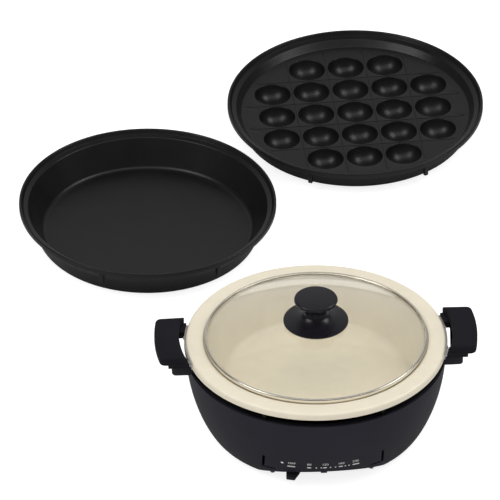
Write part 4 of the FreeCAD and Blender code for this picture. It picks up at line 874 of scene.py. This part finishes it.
DECK_RADIUS = 133.0
GROOVE_FADE = 2.0
GROOVE_LINES = (-1.5, -0.5, 0.5, 1.5)
GROOVE_DEPTH = 0.5
GROOVE_FOOT = 0.28
GROOVE_HEAD = 0.46
DECK_SHEET = 3.2
CUP_WALL = 3.0
FIELD_FAR = 200.0
CORNER_STEP = 1.79           # pitches from the deck's middle to the middle of a corner field
POCKET_STEPS = 84
CORNER_STEPS = 48
LIP_ROLL = 1.1


def groove_depth_at(x, y, pitch):
    """Depth of the deck's grooves: full within a groove's foot, sloping to nothing at its head, and
    fading out towards the deck's edge."""
    lines = np.array(GROOVE_LINES) * pitch
    away = np.minimum(abs(x[..., None] - lines).min(-1), abs(y[..., None] - lines).min(-1))
    fade = np.clip((DECK_RADIUS - GROOVE_FADE - np.hypot(x, y)) / GROOVE_FADE, 0, 1)
    return GROOVE_DEPTH * np.clip((GROOVE_HEAD - away) / (GROOVE_HEAD - GROOVE_FOOT), 0, 1) * fade


def field_corners(centre, limits):
    """Turns, seen from a field's centre, of its corners and of the places where its straight sides
    meet the deck's edge and the two circles between which a groove fades out."""
    xs, ys = limits[:2], limits[2:]
    points = [(x, y) for x in xs for y in ys if math.hypot(x, y) < DECK_RADIUS]
    for radius in (DECK_RADIUS, DECK_RADIUS - GROOVE_FADE, DECK_RADIUS - 2 * GROOVE_FADE):
        for side in (-1, 1):
            points += [(x, side * math.sqrt(radius ** 2 - x * x)) for x in xs if abs(x) < radius]
            points += [(side * math.sqrt(radius ** 2 - y * y), y) for y in ys if abs(y) < radius]
    slack = 1e-6
    return [math.atan2(y - centre[1], x - centre[0]) for x, y in points
            if xs[0] - slack <= x <= xs[1] + slack and ys[0] - slack <= y <= ys[1] + slack]


def field_reach(centre, turns, limits, radius):
    """Distance from a centre, at each turn, to the nearest of four straight limits and a circle."""
    ux, uy = np.cos(turns), np.sin(turns)
    x0, x1, y0, y1 = limits
    with np.errstate(divide="ignore"):
        to_x = np.where(ux > 0, (x1 - centre[0]) / ux, (x0 - centre[0]) / ux)
        to_y = np.where(uy > 0, (y1 - centre[1]) / uy, (y0 - centre[1]) / uy)
    to_x = np.where(abs(ux) < 1e-9, 1e9, to_x)
    to_y = np.where(abs(uy) < 1e-9, 1e9, to_y)
    along = centre[0] * ux + centre[1] * uy
    to_circle = -along + np.sqrt(along ** 2 + radius ** 2 - centre[0] ** 2 - centre[1] ** 2)
    return np.minimum(np.minimum(to_x, to_y), to_circle)


def sphere_radius(mouth, depth):
    """Radius of the sphere that has that depth at that distance: (mouth^2 + depth^2) / (2 depth)."""
    return (mouth ** 2 + depth ** 2) / (2 * depth)


def pocket_profile(mouth, depth, soften, steps):
    """Half section (distance, drop under the deck) of a pocket: part of a sphere, then a rolled lip."""
    sphere = sphere_radius(mouth, depth)
    middle = sphere - depth + soften
    reach = math.sqrt((sphere + soften) ** 2 - middle ** 2)
    start = math.atan2(reach, middle)
    bowl = np.linspace(0, start, steps)[1:]
    low = np.stack([sphere * np.sin(bowl), depth - sphere + sphere * np.cos(bowl)], 1)
    roll = np.linspace(start, 0, 6)[1:]
    lip = np.stack([reach - soften * np.sin(roll), soften - soften * np.cos(roll)], 1)
    return np.concatenate([[(0.0, depth)], low, lip])


def deck_fields(pitch):
    """The deck's 25 fields between groove lines and edge: (centre, limits, has a pocket)."""
    edges = [-FIELD_FAR, -1.5 * pitch, -0.5 * pitch, 0.5 * pitch, 1.5 * pitch, FIELD_FAR]
    fields = []
    for row in range(-2, 3):
        for column in range(-2, 3):
            corner = abs(row) == abs(column) == 2
            share = CORNER_STEP / 2.0 if corner else 1.0
            limits = (edges[column + 2], edges[column + 3], edges[row + 2], edges[row + 3])
            fields.append(((column * share * pitch, row * share * pitch), limits, not corner))
    return fields


def cup_height_at(distance, deck, sphere, middle):
    """Height of the deck's underside: a plane, or a cup's sphere about a middle where that is lower."""
    below = np.sqrt(np.maximum(sphere ** 2 - distance ** 2, 0.0))
    return np.minimum(deck - DECK_SHEET, middle - below)


def build_ball_plate():
    """Deck of 25 fields, each worked outwards from its middle, inside a turned rim.

    A field's rings are the pocket's half section, and three rings that follow the field's outline
    just beyond, at the foot and in the middle of its groove. Underneath, the rings are those of the
    cup's sphere, held back by the field's outline."""
    top, deck, at = size("ball_plate_height"), size("ball_deck"), size("ball_plate_place")
    pitch, mouth, depth = size("ball_pitch"), size("pocket_radius"), size("pocket_depth")
    turned_by = degrees_of("plate_turn")
    inner_sphere = sphere_radius(mouth, depth)
    cup_sphere, cup_middle = inner_sphere + CUP_WALL, deck + inner_sphere - depth
    under = deck - DECK_SHEET
    form = Form()

    def add_rings(rings, upwards=True):
        """Joins closed rings with faces, turned and placed as the plate lies."""
        faces = grid_quads(len(rings), rings.shape[1], around=True)
        form.add(spin(rings, turned_by, at), faces[:, ::-1] if upwards else faces)

    rim_turns = []
    for centre, limits, pocket in deck_fields(pitch):
        steps = POCKET_STEPS if pocket else CORNER_STEPS
        corners = np.mod(field_corners(centre, limits), 2 * math.pi)
        turns = np.unique(np.round(np.concatenate([np.arange(steps) * 2 * math.pi / steps, corners]), 6))
        x0, x1, y0, y1 = limits
        borders = [field_reach(centre, turns, (x0 + away, x1 - away, y0 + away, y1 - away),
                               DECK_RADIUS - away) for away in (GROOVE_HEAD, GROOVE_FOOT, 0.0)]
        if pocket:
            section = pocket_profile(mouth, depth, LIP_ROLL, 14)
            inner = np.broadcast_to(section[:, :1], (len(section), len(turns)))
            drop = np.concatenate([section[:, 1], np.zeros(3)])
            bowl = np.linspace(0, math.acos((cup_middle - under) / cup_sphere), 10)
            under_reach = np.minimum(cup_sphere * np.sin(bowl)[:, None], borders[2])
        else:
            inner = np.array([0.0, 0.5])[:, None] * borders[0]
            drop = np.zeros(5)
            under_reach = np.zeros((1, len(turns)))

        def rings_at(reach, height_at):
            """Rings about the field's middle: middle + reach (cos a, sin a), each at its height."""
            x, y = centre[0] + reach * np.cos(turns), centre[1] + reach * np.sin(turns)
            return np.stack([x, y, height_at(x, y)], -1)

        rings = rings_at(np.concatenate([inner, borders]),
                         lambda x, y: deck - drop[:, None] - groove_depth_at(x, y, pitch))
        x, y = rings[-1, :, 0], rings[-1, :, 1]
        outer = np.isclose(np.hypot(x, y), DECK_RADIUS, atol=1e-4)
        rim_turns.append(np.arctan2(y[outer], x[outer]))
        add_rings(rings)
        under_reach = np.concatenate([under_reach, borders[2][None]])
        height = under + 0 * under_reach
        if pocket:
            height = cup_height_at(under_reach, deck, cup_sphere, cup_middle)
        add_rings(rings_at(under_reach, lambda x, y: height), upwards=False)
    turns = np.unique(np.round(np.mod(np.concatenate(rim_turns), 2 * math.pi), 5))
    profile = rounded_profile([(DECK_RADIUS, deck, 0), (136.0, deck, 2.4)] + plate_rim(top)
                              + [(138.6, deck - 1.5, 2.0), (136.2, 6.4, 1.0), (133.4, 6.4, 1.0),
                                 (133.6, under, 0.4), (DECK_RADIUS, under, 0)], 9)
    add_rings(turned_surface(profile, turns))
    add_lugs(form, top, PLATE_PEG_TOP, 0, at, turned_by)
    make_piece("ball_pan", form, "ball_plate", "black_coating", ["ball_plate"], outward=False)


# Heating parts

def build_heating_parts():
    """Reflector pan, ring element and sensor cap, seen when the pot is lifted off.

    The element is a circle that is left open by a gap to either side of the back, where a quarter
    circle takes each end down to a straight foot."""
    floor, under, hole, edge = 46.0, 45.2, 13.5, 141.5
    profile = rounded_profile([
        (hole, under, 0), (112.6, under, 5), (130.3, 87.2, 2), (edge, 87.2, 0), (edge, 88.0, 0),
        (129.8, 88.0, 1.4), (112.0, floor, 4.2), (hole, floor, 0)])
    make_turned("reflector_pan", profile, "base", "steel", ["heat_shield"])
    loop, height, bend, gap, foot, tube = 80.0, 59.95, 10.0, math.radians(18.0), 38.0, 3.75
    sweep = np.linspace(math.pi / 2 + gap, math.pi / 2 - gap + 2 * math.pi, 150)
    ring = np.stack([loop * np.cos(sweep), loop * np.sin(sweep), np.full(len(sweep), height)], 1)
    ends = []
    for side in (-1, 1):
        angle = math.pi / 2 - side * gap
        start = np.array([loop * math.cos(angle), loop * math.sin(angle), height])
        toward = np.array([-side * math.sin(angle), side * math.cos(angle), 0.0])
        turn = np.linspace(0, math.pi / 2, 10)[1:, None]
        curve = start + toward * bend * np.sin(turn) - np.array([0, 0, bend]) * (1 - np.cos(turn))
        ends.append(np.concatenate([curve, [[*curve[-1, :2], foot]]]))
    form = Form()
    form.capped(swept_tube(np.concatenate([ends[0][::-1], ring, ends[1]]), tube, 20))
    make_piece("ring_heater", form, "base", "element_sheath", ["heating_element"])
    top, radius, height, top_skin, skin = 63.7, 11.0, 14.0, 1.0, 0.8
    profile = rounded_profile([
        (0, top - top_skin, 0), (radius - skin, top - top_skin, 0.6), (radius - skin, top - height, 0),
        (radius, top - height, 0), (radius, top, 1.2), (0, top, 0)])
    make_turned("sensor_button", profile, "sensor", "sensor_aluminium", ["sensor_cap"])


# Print and lamp

SCALE_HEIGHT = 33.0
LABEL_HEIGHT = 37.4
CAP_HEIGHT = 3.7
CAP_SHARE = 0.72             # a capital's height as a share of the letters' size
MARK_HALF_HEIGHT = 0.9
SCALE_LABELS = (("OFF", -37.8), ("80", -17.6), ("120", 1.2), ("160", 20.0), ("200", 37.0))
SCALE_MARKS = ((-38.3, 4.7), (-17.6, 2.5), (-9.2, 0.9), (-3.4, 0.9), (0.9, 2.2), (7.5, 0.9), (13.4, 0.9),
               (19.6, 2.4), (24.9, 0.9), (29.4, 0.9), (37.6, 4.1))


def on_bowl(u, z, proud=0.08):
    """A point of the bowl's front at sideways place u and height z, standing slightly proud of it."""
    radius = side_radius(z) + proud
    return np.stack([u, -np.sqrt(radius ** 2 - u ** 2), z], -1)


def label_form(form, text, middle):
    """Letters laid on the bowl: their plan x becomes the sideways place and their y the height."""
    curve = bpy.data.curves.new("label", "FONT")
    curve.body = text
    curve.align_x = "CENTER"
    curve.size = CAP_HEIGHT / CAP_SHARE
    curve.resolution_u = 3
    holder = bpy.data.objects.new("label", curve)
    flat = bpy.data.meshes.new_from_object(holder)
    points = np.empty(len(flat.vertices) * 3)
    flat.vertices.foreach_get("co", points)
    points = points.reshape(-1, 3)
    faces = [list(p.vertices) for p in flat.polygons]
    form.add(on_bowl(middle + points[:, 0], LABEL_HEIGHT + points[:, 1]), faces)
    bpy.data.objects.remove(holder)
    bpy.data.curves.remove(curve)
    bpy.data.meshes.remove(flat)


def mark_form(form, middle, half_width):
    """A short printed bar on the bowl, with rounded ends."""
    half = MARK_HALF_HEIGHT
    outline = block_plan(-half_width, half_width, -half, half, half * 0.9)
    form.add(on_bowl(middle + outline[:, 0], SCALE_HEIGHT + outline[:, 1]), [list(range(len(outline)))])


def build_print():
    """Plain heat scale: OFF with its bar, and numbers over bars joined by dots."""
    form = Form()
    for text, place in SCALE_LABELS:
        label_form(form, text, place)
    for place, half in SCALE_MARKS:
        mark_form(form, place, half)
    make_piece("heat_scale", form, "base", "body_plastic", finishes=[finish("print")], outward=False,
               close=False)


def build_lamp():
    """Low dome of the pilot lamp, set on the bowl's own slope: at angle a of its arc, a ring of
    radius times sin a stands its rise times cos a over the rim, which lies sunk in the bowl."""
    x, z, edge, rise, sunk, columns = -49.0, 39.0, 2.1, 0.75, 0.6, 28
    centre = on_bowl(np.array([x]), np.array([z]), 0.0)[0]
    outward = centre * [1, 1, 0] / np.hypot(centre[0], centre[1])
    across = np.cross([0, 0, 1.0], outward)
    up = np.cross(outward, across)
    arc = np.linspace(0, 1, 7)[:, None] * math.pi / 2
    turns = np.arange(columns) * 2 * math.pi / columns
    radius = edge * np.sin(arc)
    height = rise * np.cos(arc) - sunk + 0 * turns
    lens = (centre + (radius * np.cos(turns))[..., None] * across
            + (radius * np.sin(turns))[..., None] * up + height[..., None] * outward)
    form = Form()
    form.add(lens, grid_quads(len(arc), columns, around=True))
    make_piece("pilot_lamp", form, "base", "lamp_lens", ["lamp_lens"], outward=False)


# Packed nodes that keep their own shape

def dress_packed_nodes():
    """Gives every packed node the finish of its own slot in the record."""
    for part in frame["record"]["subparts"]:
        node = frame["nodes"].get(part["node"])
        if node is None:
            continue
        node.data.materials.clear()
        node.data.materials.append(finish(part["material_slot"]))


# Stage

VIEW_TURN = math.radians(-4.0)
VIEW_RISE = math.radians(35.0)
VIEW_DISTANCE = 26.0
PIXELS_PER_METRE = 853.0
PHOTO_SIZE = 500
RIM_PIXEL = (315.8, 339.0)
SENSOR_WIDTH = 36.0
SKY_IN_FRONT, SKY_BEHIND, SKY_MIRRORED = 1.14, 0.05, 0.10
TABLE_REACH = 6.0
TABLE_GLOW, TABLE_LIT, TABLE_MIRRORED = 0.80, 0.72, 0.55
LIGHT_TARGET = (0.0, 0.3, 0.05)
LIGHTS = (      # name, place, width, height, radiance
    ("left_box", (-1.42, -0.2, 1.84), 1.0, 1.0, 3.9),
    ("right_box", (1.50, 0.29, 1.78), 1.0, 1.0, 3.9),
    ("top_strip", (0.05, -0.30, 2.30), 2.2, 1.0, 1.15),
    ("back_screen", (0.1, 4.6, 2.6), 7.0, 3.9, 0.32),
    ("low_screen", (0.1, 5.2, 0.4), 2.8, 0.6, 0.80))


def view_directions():
    """Right, up and back of the photograph's view."""
    back = Vector((math.sin(VIEW_TURN) * math.cos(VIEW_RISE), -math.cos(VIEW_TURN) * math.cos(VIEW_RISE),
                   math.sin(VIEW_RISE)))
    right = Vector((0, 0, 1)).cross(back).normalized()
    return right, back.cross(right), back


def build_camera():
    """Far camera with a long lens: the pot's rim lands on its pixel of the photograph."""
    right, up, back = view_directions()
    rim = Vector((0, 0, size("rim_height") * MM))
    aside = (RIM_PIXEL[0] - PHOTO_SIZE / 2) / PIXELS_PER_METRE
    below = (RIM_PIXEL[1] - PHOTO_SIZE / 2) / PIXELS_PER_METRE
    aim = rim - right * aside + up * below
    lens = bpy.data.cameras.new("photo_camera")
    lens.sensor_width = SENSOR_WIDTH
    lens.lens = PIXELS_PER_METRE * VIEW_DISTANCE * SENSOR_WIDTH / PHOTO_SIZE
    lens.clip_start = 0.1
    lens.clip_end = 100.0
    camera = bpy.data.objects.new("photo_camera", lens)
    camera.matrix_world = Matrix((right, up, back)).transposed().to_4x4()
    camera.location = aim + back * VIEW_DISTANCE
    bpy.context.scene.collection.objects.link(camera)
    bpy.context.scene.camera = camera


def soft_light(name, place, width, height, radiance):
    """Rectangle of even light; its power is its radiance times pi times its area."""
    lamp = bpy.data.lights.new(name, "AREA")
    lamp.shape = "RECTANGLE"
    lamp.size, lamp.size_y = width, height
    lamp.energy = radiance * math.pi * width * height
    light = bpy.data.objects.new(name, lamp)
    light.location = place
    light.rotation_euler = (Vector(LIGHT_TARGET) - Vector(place)).to_track_quat("-Z", "Y").to_euler()
    bpy.context.scene.collection.objects.link(light)


def ray_kinds(tree):
    """The kinds of ray, and whether this one looks straight or through glass at a surface."""
    paths = tree.nodes.new("ShaderNodeLightPath").outputs
    return paths, calculated(tree, "MAXIMUM", paths["Is Camera Ray"], paths["Is Transmission Ray"])


def build_sky():
    """White where it is looked at, dim in reflections; its own light is stronger from the front."""
    world = bpy.context.scene.world or bpy.data.worlds.new("sky")
    bpy.context.scene.world = world
    world.use_nodes = True
    tree = world.node_tree
    tree.nodes.clear()
    paths, seen = ray_kinds(tree)
    direction = tree.nodes.new("ShaderNodeTexCoord").outputs["Generated"]
    back = shader_node(tree, "ShaderNodeSeparateXYZ", Vector=direction).outputs["Y"]
    around = spread(tree, back, SKY_IN_FRONT, SKY_BEHIND, -1.0, 1.0)
    dim = spread(tree, paths["Is Glossy Ray"], around, SKY_MIRRORED, 0.0, 1.0)
    lit = shader_node(tree, "ShaderNodeBackground", Color=WHITE, Strength=dim)
    white = shader_node(tree, "ShaderNodeBackground", Color=WHITE, Strength=1.0)
    both = shader_node(tree, "ShaderNodeMixShader", i0=seen, i1=lit.outputs[0], i2=white.outputs[0])
    shader_node(tree, "ShaderNodeOutputWorld", Surface=both.outputs[0])


def table_finish():
    """White table top: where it is looked at it glows a little, so that its shadows stay faint, and
    it is darker in reflections."""
    material, tree, shader, _ = plain_finish("table_top")
    paths, seen = ray_kinds(tree)
    base = colour("floor")
    tone = mixed(tree, paths["Is Diffuse Ray"], faded(base, TABLE_MIRRORED), faded(base, TABLE_LIT))
    tree.links.new(tone, shader.inputs["Base Color"])
    tree.links.new(calculated(tree, "MULTIPLY", seen, TABLE_GLOW), shader.inputs["Emission Strength"])
    shader.inputs["Emission Color"].default_value = WHITE
    shader.inputs["Roughness"].default_value = 0.9
    shader.inputs["Specular IOR Level"].default_value = 0.1
    return material


def build_stage():
    """White table and sky, a soft light high on either side, a strip overhead and two screens behind."""
    scene = bpy.context.scene
    scene.view_settings.view_transform = "Standard"
    build_sky()
    floor_mesh = bpy.data.meshes.new("table_top")
    reach = TABLE_REACH
    corners = [(-reach, -reach, 0), (reach, -reach, 0), (reach, reach, 0), (-reach, reach, 0)]
    floor_mesh.from_pydata(corners, [], [(0, 1, 2, 3)])
    floor = bpy.data.objects.new("table_top", floor_mesh)
    scene.collection.objects.link(floor)
    floor_mesh.materials.append(table_finish())
    for light in LIGHTS:
        soft_light(*light)


# Operators, sidebar and registration

def operator_for(name, label, purpose, make):
    """Operator class that runs one maker; its purpose becomes its docstring."""
    def execute(self, context):
        make()
        return {"FINISHED"}

    return type("GRILLPAN_OT_" + name, (bpy.types.Operator,),
                {"__doc__": purpose, "bl_idname": "grillpan." + name, "bl_label": label,
                 "bl_options": {"REGISTER", "UNDO"}, "execute": execute})


OPERATORS = (
    operator_for("camera", "Camera", "Place the camera at the photograph's view", build_camera),
    operator_for("stage", "Stage", "Lay the table top and set the soft lights", build_stage),
    operator_for("packed", "Packed Nodes", "Give the packed nodes in view the finishes of their slots",
                 dress_packed_nodes),
    operator_for("bowl", "Bowl", "Build the heater base's bowl with its front cut and slits", build_bowl),
    operator_for("guard_ring", "Guard Ring", "Build the black ring in the bowl's mouth", build_guard_ring),
    operator_for("heating", "Heating Parts", "Build the reflector, the ring element and the sensor cap",
                 build_heating_parts),
    operator_for("pot", "Pot", "Build the coated pot with its flange, ledge and lugs", build_pot),
    operator_for("grips", "Grips", "Build the pot's two grips", build_grips),
    operator_for("ears", "Ears", "Build the base's two carrying ears", build_ears),
    operator_for("lever", "Lever", "Build the control lever's finger", build_lever),
    operator_for("lid_glass", "Lid Glass", "Build the lid's glass dome", build_lid_glass),
    operator_for("lid_band", "Lid Band", "Build the steel band round the glass", build_lid_band),
    operator_for("knob", "Knob", "Build the knob and its skirt", build_knob),
    operator_for("flat_plate", "Flat Plate", "Build the flat spare plate", build_flat_plate),
    operator_for("ball_plate", "Ball Plate", "Build the spare plate with 21 ball pockets", build_ball_plate),
    operator_for("print", "Heat Scale", "Print the plain heat scale on the bowl", build_print),
    operator_for("lamp", "Pilot Lamp", "Build the pilot lamp's lens", build_lamp),
)


class GRILLPAN_PT_sidebar(bpy.types.Panel):
    """Lists the sizes, the colours and the makers"""

    bl_idname = "GRILLPAN_PT_sidebar"
    bl_label = "Electric Grill Pan"
    bl_space_type = "VIEW_3D"
    bl_region_type = "UI"
    bl_category = "Grill Pan"

    def draw(self, context):
        for operator in OPERATORS:
            self.layout.operator(operator.bl_idname)
        for group in (context.scene.grill_pan_sizes, context.scene.grill_pan_colours):
            box = self.layout.box()
            for name in group.__annotations__:
                box.prop(group, name)


CLASSES = (GrillPanSizes, GrillPanColours, *OPERATORS, GRILLPAN_PT_sidebar)


def register():
    """Adds the sizes, the colours, the makers and the sidebar to Blender."""
    for each in CLASSES:
        bpy.utils.register_class(each)
    bpy.types.Scene.grill_pan_sizes = PointerProperty(type=GrillPanSizes)
    bpy.types.Scene.grill_pan_colours = PointerProperty(type=GrillPanColours)


def unregister():
    """Takes out again what register adds."""
    del bpy.types.Scene.grill_pan_colours
    del bpy.types.Scene.grill_pan_sizes
    for each in reversed(CLASSES):
        bpy.utils.unregister_class(each)


def main():
    """Runs every maker in turn, then notes the bounds of the packed part and of the whole scene."""
    register()
    for operator in OPERATORS:
        group, name = operator.bl_idname.split(".")
        getattr(getattr(bpy.ops, group), name)()


if __name__ == "__main__":
    main()
